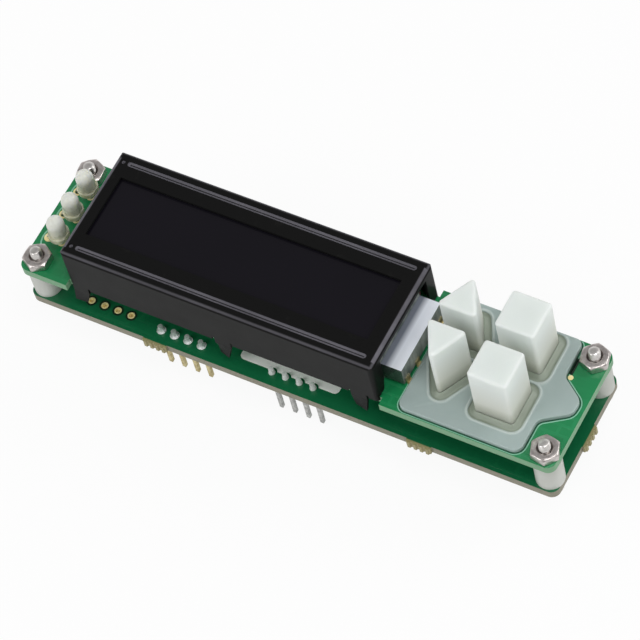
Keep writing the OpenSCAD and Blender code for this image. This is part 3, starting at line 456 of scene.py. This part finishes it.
def dress_nodes():
    """Give each node of the frame its look."""
    for name, obj in nodes.items():
        obj.data.materials.clear()
        obj.data.materials.append(LOOKS[NODE_LOOKS[name]])


# -------------------- mesh helpers

SHARP_ANGLE = math.radians(38)
WELD = 1e-7


def put(name, data):
    """A new object in the scene."""
    obj = bpy.data.objects.new(name, data)
    bpy.context.scene.collection.objects.link(obj)
    return obj


def new_mesh(name, skin, weld=False):
    """A mesh of a skin, which is vertices and faces; weld makes its coincident points one."""
    verts, faces = skin
    mesh = bpy.data.meshes.new(name)
    mesh.from_pydata([tuple(v) for v in verts], [], faces)
    mesh.validate()
    bm = bmesh.new()
    bm.from_mesh(mesh)
    if weld:
        bmesh.ops.remove_doubles(bm, verts=bm.verts, dist=WELD)
    bmesh.ops.recalc_face_normals(bm, faces=bm.faces)
    bm.to_mesh(mesh)
    bm.free()
    return mesh


def add_piece(name, skin, look, body=ROOT, smooth=True, weld=False):
    """A piece of the scene's own that rides on a body."""
    mesh = new_mesh(name, skin, weld)
    for face in mesh.polygons:
        face.use_smooth = smooth
    if smooth:
        mesh.set_sharp_from_angle(angle=SHARP_ANGLE)
    mesh.materials.append(LOOKS[look])
    obj = put(name, mesh)
    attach(obj, body)
    return obj


def loft(rings, closed=True):
    """Skin over rings of equally many points, closed at the first and last or open at both."""
    n = len(rings[0])
    verts = [p for ring in rings for p in ring]
    faces = []
    for i in range(len(rings) - 1):
        for k in range(n):
            a, b = i * n + k, i * n + (k + 1) % n
            faces.append((a, b, b + n, a + n))
    if closed:
        faces.append(tuple(range(n))[::-1])
        faces.append(tuple(range((len(rings) - 1) * n, len(rings) * n)))
    return verts, faces


def join_parts(parts):
    """One skin from several."""
    verts, faces = [], []
    for v, f in parts:
        base = len(verts)
        verts += v
        faces += [tuple(i + base for i in face) for face in f]
    return verts, faces


def band(rings):
    """Skin through closed rings, the last joined to the first."""
    n = len(rings[0])
    verts = [p for ring in rings for p in ring]
    faces = []
    for i in range(len(rings)):
        a, b = i * n, (i + 1) % len(rings) * n
        faces += [(a + k, a + (k + 1) % n, b + (k + 1) % n, b + k) for k in range(n)]
    return verts, faces


def circle(x, y, r, steps):
    """Points of a circle, anticlockwise."""
    turns = [2 * math.pi * k / steps for k in range(steps)]
    return [(x + r * math.cos(turn), y + r * math.sin(turn)) for turn in turns]


def lathe(profile, centre, steps=40, flip=False):
    """Skin of a profile of (radius, height) turned about a vertical axis through centre."""
    sign = -1 if flip else 1
    rings = []
    for r, z in profile:
        points = circle(centre.x, centre.y, max(r, 1e-7), steps)
        rings.append([(x, y, centre.z + sign * z) for x, y in points])
    return loft(rings)


# -------------------- rounded outlines

def corner_vectors(points, i):
    """A corner, the directions to the ones before and after it, and half of its angle."""
    here, before, after = points[i], points[i - 1], points[(i + 1) % len(points)]
    a, b = (before - here).normalized(), (after - here).normalized()
    half = a.angle(b) / 2
    return here, a, b, half


def grown(points, g):
    """Anticlockwise outline moved outwards by g on every side."""
    result = []
    for i in range(len(points)):
        here, a, b, half = corner_vectors(points, i)
        outwards = -1 if b.cross(a) > 0 else 1
        result.append(here + (a + b).normalized() * outwards * g / math.sin(half))
    return result


def rounded(points, radii, steps=8):
    """Outline with an arc of its own radius at each corner."""
    result = []
    for i, r in enumerate(radii):
        here, a, b, half = corner_vectors(points, i)
        centre = here + (a + b).normalized() * r / math.sin(half)
        start = here + a * r / math.tan(half) - centre
        end = here + b * r / math.tan(half) - centre
        turn = start.angle_signed(end)
        for k in range(steps + 1):
            result.append(centre + Matrix.Rotation(-turn * k / steps, 2) @ start)
    return result


# -------------------- keypad

KEYS = ("up", "down", "enter", "cancel")
KEY_CORNER = 0.6 * MM
KEY_EDGE = 0.5 * MM  # rounding of the top edge, which has to stay under ARROW_TIP
# Rings of the dished top: share of the outline, and depth in millimetres
KEY_DISH = ((0.8, 0.02), (0.5, 0.05), (0.2, 0.06))
ARROW_W = 7.2 * MM
ARROW_H = 6.2 * MM
ARROW_TIP = 0.55 * MM

WEB_W = 1.2 * MM
WEB_LAP = 0.03 * MM  # how far the web goes into the mat
WEB_PLAY = -0.03 * MM  # takes WEB_LAP back, so that the web ends on the key's side
WEB_THICK = 0.28 * MM
WEB_DROP = 0.12 * MM  # from the mat's face down to where the web starts
WEB_DIP = 0.1 * MM
WEB_RISE = 0.5 * MM  # from there up to where it ends
WEB_STEPS = 10

LIP_UP = 0.15 * MM
LIP_AT = WEB_W + 0.26 * MM  # from a key's side to the top of the lip
LIP_HALF = 0.36 * MM
LIP_RUN_OUT = 0.3 * MM  # over which a lip sinks towards the mat's edge
MAT_EDGE = 0.16 * MM
MAT_STEP = 4.8 * MM
MAT_RADII = [r * MM for r in (1.4, 1.6, 1.7, 1.9, 1.9, 1.5, 1.2, 1.2)]
MAT_INWARD = (2, 5)  # corners that turn inwards
MAT_PITCH = 0.22 * MM  # of the points that carry the lips
MAT_CLEAR = 0.08 * MM  # between those points and the outlines
TONGUE_Y = -0.155 * MM


def key_corners(kind):
    """Sharp corners of a key's outline about its own middle, and the radius that rounds them."""
    if kind in ("enter", "cancel"):
        low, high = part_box("key_" + kind)
        half = (high.x - low.x) / 2
        corners, radius = ((-half, -half), (half, -half), (half, half), (-half, half)), KEY_CORNER
    else:
        slope = math.atan(ARROW_W / (2 * ARROW_H))
        tip = ARROW_H / 2 + ARROW_TIP / math.sin(slope) - ARROW_TIP
        corners = ((-ARROW_W / 2, -ARROW_H / 2), (ARROW_W / 2, -ARROW_H / 2), (0, tip))
        radius = ARROW_TIP
    return [Vector(corner) for corner in corners], radius


def key_outline(kind, g, steps=8):
    """Outline of a key about its own middle, with its sides moved outwards by g."""
    corners, radius = key_corners(kind)
    points = rounded(grown(corners, g), [radius + g] * len(corners), steps)
    return [-p for p in points] if kind == "down" else points


def key_middle(kind):
    """Where a key's outline has its middle; an arrow's is ARROW_H / 2 from its base."""
    low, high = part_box("key_" + kind)
    x = (low.x + high.x) / 2
    if kind == "up":
        return Vector((x, low.y + ARROW_H / 2))
    if kind == "down":
        return Vector((x, high.y - ARROW_H / 2))
    return Vector((x, (low.y + high.y) / 2))


def level(points, middle, z):
    return [(middle.x + p.x, middle.y + p.y, z) for p in points]


def make_key(kind):
    """A tall silicone key with soft edges and a barely dished top."""
    low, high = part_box("key_" + kind)
    middle = key_middle(kind)
    straight = high.z - KEY_EDGE
    rings = []
    for share in (0, 0.25, 0.5, 0.75):
        rings.append(level(key_outline(kind, 0), middle, low.z + share * (straight - low.z)))
    for k in range(7):
        turn = math.radians(15 * k)
        inset = KEY_EDGE * (1 - math.cos(turn))
        z = straight + KEY_EDGE * math.sin(turn)
        rings.append(level(key_outline(kind, -inset), middle, z))
    flat = rings[-1]
    centre = Vector((sum(p[0] for p in flat), sum(p[1] for p in flat))) / len(flat)
    for share, dip in KEY_DISH:
        z = high.z - dip * MM
        rings.append([
            (centre.x + (x - centre.x) * share, centre.y + (y - centre.y) * share, z)
            for x, y, _ in flat
        ])
    key = add_piece("silicone_key_" + kind, loft(rings), "key", "key_%s_body" % kind)
    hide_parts("key_" + kind)


def make_web(kind):
    """The thin web between mat and key: a soft S from the mat up to the key's side."""
    middle = key_middle(kind)
    upper, under = [], []
    mat_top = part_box("keypad_mat")[1].z - LIP_UP
    for i in range(WEB_STEPS + 1):
        t = i / WEB_STEPS
        g = WEB_W + WEB_LAP + (WEB_PLAY - WEB_W) * t
        dip = math.sin(math.pi * min(1.0, t / 0.7)) ** 2
        ease = t * t * (3 - 2 * t)
        z = mat_top - WEB_DROP - WEB_DIP * dip + WEB_RISE * ease * t
        upper.append(level(key_outline(kind, g), middle, z))
        under.append(level(key_outline(kind, g), middle, z - WEB_THICK))
    mesh = new_mesh("web_skin_" + kind, band(upper + under[::-1]))
    for face in mesh.polygons:
        face.use_smooth = True
    mesh.materials.append(LOOKS["web"])
    web = put("web_skin_" + kind, mesh)
    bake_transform(web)
    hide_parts("web_" + kind)


def polygon_distance(x, y, corners):
    """Distance from a point to a polygon, negative inside it."""
    nearest, inside = 1.0, False
    for i in range(len(corners)):
        ax, ay = corners[i - 1]
        bx, by = corners[i]
        ex, ey = bx - ax, by - ay
        along = ((x - ax) * ex + (y - ay) * ey) / (ex * ex + ey * ey)
        along = min(1.0, max(0.0, along))
        nearest = min(nearest, math.hypot(x - ax - ex * along, y - ay - ey * along))
        if (ay > y) != (by > y) and x < ax + ex * (y - ay) / ey:
            inside = not inside
    return -nearest if inside else nearest


def key_core(kind):
    """Corners that a key's outline is rounded about, and the radius."""
    corners, radius = key_corners(kind)
    core = grown(corners, -radius)
    if kind == "down":
        core = [-corner for corner in core]
    middle = key_middle(kind)
    return [(middle.x + corner.x, middle.y + corner.y) for corner in core], radius


def mat_corners():
    """The mat's outline as its corners, from its box in the frame."""
    low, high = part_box("keypad_mat")
    left, front, back = low.x, low.y, high.y
    tip = high.x
    right = tip - MAT_STEP
    corners = [
        (left, front), (right, front), (right, TONGUE_Y - 4.4 * MM),
        (tip - 0.2 * MM, TONGUE_Y - 1.3 * MM), (tip, TONGUE_Y + 1.3 * MM),
        (right + 0.5 * MM, TONGUE_Y + 4.4 * MM), (right + 0.5 * MM, back), (left, back),
    ]
    return [Vector(c) for c in corners]


def mat_outline(g, steps=8):
    """The mat's outline with its sides moved outwards by g."""
    radii = [r - g if i in MAT_INWARD else r + g for i, r in enumerate(MAT_RADII)]
    return [(p.x, p.y) for p in rounded(grown(mat_corners(), g), radii, steps)]


def mat_face(outlines, from_keys, height):
    """The mat's upper face between its outer outline and its openings, fine at the lips."""
    low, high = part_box("keypad_mat")
    outer = outlines[0]
    flat, edges = [], []
    for loop in outlines:
        base = len(flat)
        flat += loop
        edges += [(base + i, base + (i + 1) % len(loop)) for i in range(len(loop))]
    for i in range(1, int((high.x - low.x) / MAT_PITCH)):
        for k in range(1, int((high.y - low.y) / MAT_PITCH)):
            x, y = low.x + i * MAT_PITCH, low.y + k * MAT_PITCH
            at_lip = MAT_CLEAR < from_keys(x, y) - WEB_W < LIP_HALF * 2.2
            if at_lip and polygon_distance(x, y, outer) < -MAT_CLEAR:
                flat.append((x, y))
    made = delaunay_2d_cdt([Vector(p) for p in flat], edges, [], 0, 1e-8)
    points, triangles = made[0], made[2]
    faces = []
    for triangle in triangles:
        x = sum(points[i].x for i in triangle) / 3
        y = sum(points[i].y for i in triangle) / 3
        if polygon_distance(x, y, outer) < 0 and from_keys(x, y) > WEB_W:
            faces.append(tuple(triangle))
    return [(p.x, p.y, height(p.x, p.y)) for p in points], faces


def make_mat():
    """The silicone mat: rounded edges, four openings and a soft lip round each."""
    low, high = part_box("keypad_mat")
    top = high.z - LIP_UP
    cores = [key_core(kind) for kind in KEYS]
    outer = mat_outline(-MAT_EDGE)

    def from_keys(x, y):
        return min(polygon_distance(x, y, corners) - radius for corners, radius in cores)

    def height(x, y):
        across = abs(from_keys(x, y) - LIP_AT) / LIP_HALF
        if across >= 1:
            return top
        edge = min(1.0, max(0.0, -polygon_distance(x, y, outer) / LIP_RUN_OUT))
        return top + LIP_UP * edge * 0.5 * (1 + math.cos(math.pi * across))

    openings = []
    for kind in KEYS:
        middle = key_middle(kind)
        openings.append([(middle.x + p.x, middle.y + p.y) for p in key_outline(kind, WEB_W, 10)])
    parts = [mat_face([outer] + openings, from_keys, height)]

    rings = []
    for k in range(5):
        turn = math.radians(22.5 * k)
        drop = MAT_EDGE * (1 - math.cos(turn))
        outline = mat_outline(MAT_EDGE * (math.sin(turn) - 1))
        rings.append([(x, y, top - drop) for x, y in outline])
    rings.append([(x, y, low.z) for x, y in mat_outline(0)])
    parts.append(loft(rings, closed=False))
    for loop in openings:
        rings = [[(x, y, height(x, y)) for x, y in loop], [(x, y, low.z) for x, y in loop]]
        parts.append(loft(rings, closed=False))

    under = [[(x, y, low.z) for x, y in loop] for loop in [mat_outline(0)] + openings]
    sheet = tessellate_polygon([[Vector(p) for p in loop] for loop in under])
    parts.append(([p for loop in under for p in loop], [tuple(triangle) for triangle in sheet]))
    mat = add_piece("silicone_mat", join_parts(parts), "mat", weld=True)
    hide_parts("keypad_mat")


# -------------------- print, painted shadow and a dark strip

PRINT_UP = 0.02 * MM
PRINT_THICK = 0.04 * MM
LINE_OUT = 0.46 * MM  # the printed line's two sides, beyond the mat
LINE_IN = 0.28 * MM
SHADOW_BAND_UP = 0.015 * MM
SHADOW_BAND_IN = -0.1 * MM  # inner side of the painted shadow band, under the mat
BOARD_EDGE = 0.1 * MM  # kept free of print
STRIP_X = (0.6 * MM, 1.3 * MM)  # beyond the mat's straight right side
STRIP_Y = (5.2 * MM, 8.3 * MM)
MARK_R = (3.62 * MM, 3.36 * MM)  # outer and inner
MARK_START = 145  # degrees
MARK_SPAN = 70
MARK_STEPS = 24


def ribbon(outer, inner, z):
    """A thin printed band between two outlines of equally many points, its top at z."""
    low = z - PRINT_THICK
    return band([
        [(p[0], p[1], z) for p in outer], [(p[0], p[1], z) for p in inner],
        [(p[0], p[1], low) for p in inner], [(p[0], p[1], low) for p in outer],
    ])


def on_board(points):
    """Points kept on the upper board's face."""
    low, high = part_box("upper_board")
    return [(x, min(max(y, low.y + BOARD_EDGE), high.y - BOARD_EDGE)) for x, y in points]


def make_print():
    """The printed outline round the mat, and inside it a dark band of painted shadow along the
    mat's edge.
    """
    far, near, inside = (on_board(mat_outline(g)) for g in (LINE_OUT, LINE_IN, SHADOW_BAND_IN))
    line = ribbon(far, near, UPPER_TOP + PRINT_UP)
    piece = add_piece("printed_outline", line, "print", smooth=False)
    # painted shadow: a dark band between the printed line and the mat
    mat_edge_shadow = ribbon(near, inside, UPPER_TOP + SHADOW_BAND_UP)
    piece = add_piece("painted_mat_edge_shadow", mat_edge_shadow, "mat_edge_shadow", smooth=False)


def make_dark_strip():
    """A dark strip on the upper board beside the mat."""
    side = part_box("keypad_mat")[1].x - MAT_STEP
    left, right = side + STRIP_X[0], side + STRIP_X[1]
    front, back = STRIP_Y
    corners = ((left, front), (right, front), (right, back), (left, back))
    rings = [[(x, y, UPPER_TOP + up) for x, y in corners] for up in (-PRINT_UP, PRINT_UP)]
    piece = add_piece("dark_strip", loft(rings), "rim", smooth=False)


def make_light_marks():
    """Pale mint arcs on the upper board, left of the lights."""
    outer, inner = MARK_R
    top = UPPER_TOP + PRINT_UP
    under = top - PRINT_THICK
    parts = []
    for name in ("light_front", "light_middle", "light_back"):
        low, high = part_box(name)
        x, y = (low.x + high.x) / 2, (low.y + high.y) / 2
        rings = []
        for k in range(MARK_STEPS + 1):
            turn = math.radians(MARK_START + MARK_SPAN * k / MARK_STEPS)
            rings.append([
                (x + r * math.cos(turn), y + r * math.sin(turn), z)
                for r, z in ((outer, top), (inner, top), (inner, under), (outer, under))
            ])
        parts.append(loft(rings))
    piece = add_piece("light_marks", join_parts(parts), "print", smooth=False)


# -------------------- bezel

TAB_HANDS = ((-0.8, -7.0), (-0.55, 5.0), (-0.1, 7.0))  # left to right: lean in mm, turn in degrees
TAB_TURN = 16.0  # of every tab in the frame, in degrees
TAB_REACH = 4 * MM  # ends nearer than this along X belong to the same tab
TAB_GAPS = (-30 * MM, 0)  # between the left and middle tabs, and the middle and right ones
TAB_END = 0.5 * MM
TAB_AXIS_IN = 0.65 * MM  # from the bezel's front or back to the axis that a tab turns about
NARROWED = (-1.5 * MM, 0)  # left half of a middle tab, drawn in by NARROWING
NARROWING = 0.45 * MM


def make_bezel():
    """The pressed bezel, with its tabs bent over by hand, each a little differently."""
    mesh = nodes["bezel"].data.copy()
    mesh.name = "pressed_bezel"
    low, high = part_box("bezel")
    start = UPPER_LOW - 0.1 * MM
    below = [v for v in mesh.vertices if v.co.z < start]
    ends = [v.co.x for v in below if v.co.z < low.z + TAB_END]
    for v in below:
        group = [x for x in ends if abs(x - v.co.x) < TAB_REACH]
        centre = (min(group) + max(group)) / 2
        index = sum(centre >= x for x in TAB_GAPS)
        lean, turn = TAB_HANDS[index]
        down = (start - v.co.z) / (start - low.z)
        side = -1 if v.co.y < 0 else 1
        plane = side * (high.y - TAB_AXIS_IN)
        undo = -side * math.radians(TAB_TURN - turn) * down
        x, y = v.co.x - centre, v.co.y - plane
        if index == 1 and NARROWED[0] < x < NARROWED[1]:
            x += NARROWING
        v.co.x = centre + x * math.cos(undo) - y * math.sin(undo) + lean * MM * down
        v.co.y = plane + x * math.sin(undo) + y * math.cos(undo)
    mesh.update()
    mesh.materials.clear()
    mesh.materials.append(LOOKS["bezel"])
    piece = put("pressed_bezel", mesh)
    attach(piece, ROOT)
    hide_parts("bezel")


# -------------------- fasteners

SCREW_R = 1.0 * MM
THREAD_PITCH = 0.45 * MM
THREAD_DEPTH = 0.17 * MM
END_ROUND = 0.32 * MM
HEAD_R = 2.0 * MM
HEAD_EDGE = 0.6 * MM  # how far in the rounding of a head goes
NUT_FLATS = 4.44 * MM
NUT_BORE = 1.04 * MM
NUT_SPINS = (0.0, 0.12, 0.35, 0.2)  # radians, in the order of screw_spots


def screw_spots():
    """Middles of the four screws, from the place of one spacer."""
    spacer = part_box("spacer_front_right")
    x = (spacer[0].x + spacer[1].x) / 2
    y = -(spacer[0].y + spacer[1].y) / 2
    return [Vector((sx * x, sy * y, 0)) for sx in (-1, 1) for sy in (-1, 1)]


def threaded_end(centre, low, high, steps=36, per_turn=8):
    """Skin of a threaded rod between two levels, with a rounded end."""
    rings = []
    count = int((high - low) / THREAD_PITCH * per_turn)
    for i in range(count + 1):
        z = low + (high - low) * i / count
        fade = min(1.0, (high - z) / END_ROUND)
        dome = math.sqrt(max(0.0, 1 - (1 - fade) ** 2))
        ring = []
        for k in range(steps):
            turn = 2 * math.pi * k / steps
            phase = ((z - low) / THREAD_PITCH - k / steps) % 1.0
            groove = abs(2 * phase - 1)
            radius = (SCREW_R - THREAD_DEPTH * groove) * (0.35 + 0.65 * dome)
            ring.append((centre.x + radius * math.cos(turn), centre.y + radius * math.sin(turn), z))
        rings.append(ring)
    return loft(rings)


def make_screws():
    """Screws with threaded ends above the nuts and round recessed heads below."""
    low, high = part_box("screws")
    thread_low = UPPER_TOP - 0.2 * MM
    head_h = LOWER_LOW - low.z
    rounding = 0.45 * head_h
    shank = SCREW_R * 0.92
    profile = [(shank, thread_low), (shank, LOWER_LOW)]
    profile += [(HEAD_R, LOWER_LOW), (HEAD_R, low.z + rounding)]
    for k in range(1, 7):
        turn = math.radians(15 * k)
        r = HEAD_R - HEAD_EDGE * (1 - math.cos(turn))
        profile.append((r, low.z + rounding * (1 - math.sin(turn))))
    for r, depth in ((0.85, 0), (0.55, 0.25), (0.2, 0.5)):
        profile.append((r * MM, low.z + depth * head_h))
    parts = []
    for spot in screw_spots():
        parts.append(threaded_end(spot, thread_low, high.z))
        parts.append(lathe(profile[::-1], spot))
    piece = add_piece("threaded_screws", join_parts(parts), "screw")
    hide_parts("screws")


def hex_radius(turn, flats):
    """Distance from a hexagon's middle to its outline at one turn."""
    return flats / 2 / math.cos((turn + math.pi / 6) % (math.pi / 3) - math.pi / 6)


def nut_section(turn, low, high):
    """Section of a nut at one turn, as (radius, level): up its outside and down its bore."""
    side = hex_radius(turn, NUT_FLATS)
    face = NUT_FLATS * 0.47
    turned_off = max(0.0, side - NUT_FLATS * 0.485) * 0.62
    return (
        (NUT_BORE, low), (face, low),
        (side - 0.05 * MM, low + turned_off), (side, low + turned_off + 0.06 * MM),
        (side, high - turned_off - 0.06 * MM), (side - 0.05 * MM, high - turned_off),
        (face, high), (NUT_BORE + 0.34 * MM, high),
        (NUT_BORE + 0.02 * MM, high - 0.36 * MM), (NUT_BORE, low),
    )


def make_nuts():
    """Hexagon nuts with turned-off corners and a countersunk thread."""
    low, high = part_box("nuts")
    steps = 96
    nuts, sinks = [], []
    for spot, spin in zip(screw_spots(), NUT_SPINS):
        columns = []
        for k in range(steps):
            turn = 2 * math.pi * k / steps
            across, along = math.cos(turn + spin), math.sin(turn + spin)
            section = nut_section(turn, low.z, high.z)
            columns.append([(spot.x + r * across, spot.y + r * along, z) for r, z in section])
        nuts.append(loft(list(zip(*columns)), closed=False))
        rings = []
        for out, down in ((0.3, 0.01), (0.03, 0.3), (0.1, 0.36), (0.38, 0.05)):
            points = circle(spot.x, spot.y, NUT_BORE + out * MM, 48)
            rings.append([(x, y, high.z - down * MM) for x, y in points])
        sinks.append(band(rings))
    piece = add_piece("hexagon_nuts", join_parts(nuts), "steel")
    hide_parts("nuts")
    piece = add_piece("nut_countersinks", join_parts(sinks), "countersink")


# -------------------- solder

PITCH = 2.54 * MM
PIN_HALF = 0.32 * MM
LEAD_HALF = 0.25 * MM
FILLET_TOP = 0.44 * MM  # radius round a header pin, a little wider than the pin
FILLET_OVER = 0.02 * MM  # how far the solder covers a pin's top
SPARE_HOLE = (-38.09 * MM, -8.85 * MM)  # X and Y of the leftmost one, on the lower board
HOLE_RIM = (0.64 * MM, 0.96 * MM)
RIM_UP = 0.07 * MM
EDGE_SOLDER_X = 24.9 * MM


def cone(x, y, z, r_low, r_top, h, flip=False, steps=28):
    """A concave fillet of solder standing on a board, or hanging under it when flipped."""
    profile = [(0.0, 0.0)]
    for k in range(9):
        t = k / 8
        profile.append((r_top + (r_low - r_top) * (1 - t) ** 2.2, h * t))
    profile.append((0.0, h * 1.06))
    return lathe(profile, Vector((x, y, z)), steps, flip)


def make_cones():
    """Solder fillets round the header pins and the lights' leads, one of them gold."""
    bright, dull = [], []
    for name, r_low, fillets in (("pins_left", 0.82 * MM, bright), ("pins_right", 0.58 * MM, dull)):
        low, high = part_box(name)
        y = (low.y + high.y) / 2
        first, last = low.x + PIN_HALF, high.x - PIN_HALF
        h = high.z - LOWER_TOP + FILLET_OVER
        for i in range(4):
            x = first + (last - first) * i / 3
            fillets.append(cone(x, y, LOWER_TOP, r_low, FILLET_TOP, h))
    low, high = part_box("light_leads")
    for name in ("light_front", "light_middle", "light_back"):
        y = sum(corner.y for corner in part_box(name)) / 2
        for x in (low.x + LEAD_HALF, (low.x + high.x) / 2, high.x - LEAD_HALF):
            bright.append(cone(x, y, UPPER_LOW, 0.84 * MM, 0.34 * MM, 0.7 * MM, True, 24))
    piece = add_piece("solder_fillets", join_parts(bright), "solder")
    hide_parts("solder_joints")
    piece = add_piece("dull_solder_fillets", join_parts(dull), "dull_solder")
    y = sum(corner.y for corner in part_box("light_front")) / 2
    fillet = cone(low.x + LEAD_HALF, y, UPPER_TOP, 0.86 * MM, 0.36 * MM, 0.34 * MM)
    piece = add_piece("gold_fillet", fillet, "gold")


def make_edge_solder():
    """A bump of solder under the upper board, just behind its front edge."""
    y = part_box("upper_board")[0].y + 0.75 * MM
    bump = cone(EDGE_SOLDER_X, y, UPPER_LOW, 0.7 * MM, 0.3 * MM, 0.6 * MM, True)
    piece = add_piece("edge_solder", bump, "dull_solder")


def make_hole_rims():
    """Bare rings in the solder mask round the spare plated holes."""
    parts = []
    for i in range(4):
        inner, outer = (circle(SPARE_HOLE[0] + PITCH * i, SPARE_HOLE[1], r, 40) for r in HOLE_RIM)
        parts.append(ribbon(outer, inner, LOWER_TOP + RIM_UP))
    piece = add_piece("hole_rims", join_parts(parts), "rim", smooth=False)


# -------------------- camera, light and floor

# Angles are degrees; the lens and the sensor are in Blender's millimetres
CAMERA_AZIMUTH = 41.637
CAMERA_ELEVATION = 57.142
CAMERA_ROLL = -16.235
CAMERA_DISTANCE = 588.785 * MM
CAMERA_LENS = 204.2
CAMERA_SIDEWAYS = 1.181 * MM
CAMERA_UPWARDS = 2.069 * MM
CAMERA_SHIFT = (-0.0027, -0.0003)


def make_camera():
    """The photograph's camera, placed from the middle of the lower board's upper face."""
    az, el, roll = (math.radians(a) for a in (CAMERA_AZIMUTH, CAMERA_ELEVATION, CAMERA_ROLL))
    back = Vector((math.sin(az) * math.cos(el), -math.cos(az) * math.cos(el), math.sin(el)))
    right = (-back).cross(Vector((0, 0, 1))).normalized()
    up = right.cross(-back)
    right_rolled = math.cos(roll) * right + math.sin(roll) * up
    up_rolled = math.cos(roll) * up - math.sin(roll) * right
    data = bpy.data.cameras.new("camera")
    data.lens = CAMERA_LENS
    data.sensor_width = 36
    data.clip_start = 0.01
    data.clip_end = 50
    data.shift_x, data.shift_y = CAMERA_SHIFT
    camera = put("camera", data)
    place = (Vector((0, 0, LOWER_TOP)) + back * CAMERA_DISTANCE
             + right * CAMERA_SIDEWAYS + up * CAMERA_UPWARDS)
    camera.matrix_world = Matrix((
        (right_rolled.x, up_rolled.x, back.x, place.x),
        (right_rolled.y, up_rolled.y, back.y, place.y),
        (right_rolled.z, up_rolled.z, back.z, place.z),
        (0, 0, 0, 1),
    ))
    bpy.context.scene.camera = camera


SKY_OVERHEAD = 0.34
# Each lamp: name, place, width, and the share of a white face's light that it gives when square on
LAMPS = (
    ("top_softbox", (0.32, -0.12, 0.88), 0.45, 0.31),
    ("left_softbox", (-0.4, -0.6, 0.72), 0.4, 0.22),
    ("back_softbox", (0.62, 0.5, 0.6), 0.5, 0.21),
)


def make_lamp(name, place, size, share):
    """A round soft lamp that looks at the part's origin."""
    place = Vector(place)
    data = bpy.data.lights.new(name, "AREA")
    data.shape = "DISK"
    data.size = size
    data.energy = share * math.pi ** 2 * place.length_squared
    lamp = put(name, data)
    lamp.location = place
    lamp.rotation_euler = (-place).to_track_quat("-Z", "Y").to_euler()


def make_world():
    """Pale all round at the horizon and dimmer overhead; the camera sees it as white."""
    world = bpy.data.worlds.new("studio")
    bpy.context.scene.world = world
    world.use_nodes = True
    tree = world.node_tree
    back = tree.nodes["Background"]
    back.inputs["Color"].default_value = (1, 1, 1, 1)
    place = tree.nodes.new("ShaderNodeTexCoord")
    split = tree.nodes.new("ShaderNodeSeparateXYZ")
    tree.links.new(place.outputs["Generated"], split.inputs[0])
    sky = tree.nodes.new("ShaderNodeMapRange")
    sky.interpolation_type = "SMOOTHSTEP"
    for socket, value in (
        ("From Min", 0.25), ("From Max", 0.7), ("To Min", 0.8), ("To Max", SKY_OVERHEAD),
    ):
        sky.inputs[socket].default_value = value
    tree.links.new(split.outputs["Z"], sky.inputs["Value"])
    path = tree.nodes.new("ShaderNodeLightPath")
    seen, strength = (tree.nodes.new("ShaderNodeMath") for _ in range(2))
    seen.operation = strength.operation = "MAXIMUM"
    tree.links.new(path.outputs["Is Camera Ray"], seen.inputs[0])
    tree.links.new(path.outputs["Is Transmission Ray"], seen.inputs[1])
    tree.links.new(seen.outputs[0], strength.inputs[0])
    tree.links.new(sky.outputs["Result"], strength.inputs[1])
    tree.links.new(strength.outputs[0], back.inputs["Strength"])


FLOOR_SIZE = 3.0
FLOOR_GAP = 0.02 * MM


def make_floor():
    """A pale floor that the camera sees as nearly white."""
    mesh = bpy.data.meshes.new("floor")
    corners = ((-1, -1), (1, -1), (1, 1), (-1, 1))
    z = FLOOR_Z - FLOOR_GAP
    mesh.from_pydata([(x * FLOOR_SIZE, y * FLOOR_SIZE, z) for x, y in corners], [], [(0, 1, 2, 3)])
    floor = put("floor", mesh)
    look = Look("pale_floor", (0.86, 0.86, 0.86, 1), rough=0.9)
    path = look.add("ShaderNodeLightPath")
    seen = look.math("MAXIMUM", path.outputs["Is Camera Ray"], path.outputs["Is Transmission Ray"])
    glossy = look.math("MULTIPLY", path.outputs["Is Glossy Ray"], 0.4)
    glow = look.math("MAXIMUM", look.math("MULTIPLY", seen, 0.92), glossy)
    emission = look.add("ShaderNodeEmission")
    blend = look.add("ShaderNodeMixShader")
    out = look.tree.nodes["Material Output"]
    look.link(glow, blend.inputs[0])
    look.link(look.bsdf.outputs[0], blend.inputs[1])
    look.link(emission.outputs[0], blend.inputs[2])
    look.link(blend.outputs[0], out.inputs["Surface"])
    mesh.materials.append(look.mat)


def make_studio():
    """White surroundings, camera and lamps."""
    bpy.context.scene.view_settings.view_transform = "Standard"
    make_world()
    make_floor()
    make_camera()
    for name, place, size, share in LAMPS:
        make_lamp(name, place, size, share)


# -------------------- build

dress_nodes()
for key_kind in KEYS:
    make_key(key_kind)
    make_web(key_kind)
make_mat()
make_print()
make_dark_strip()
make_edge_solder()
make_light_marks()
make_bezel()
make_screws()
make_nuts()
make_cones()
make_hole_rims()
make_studio()
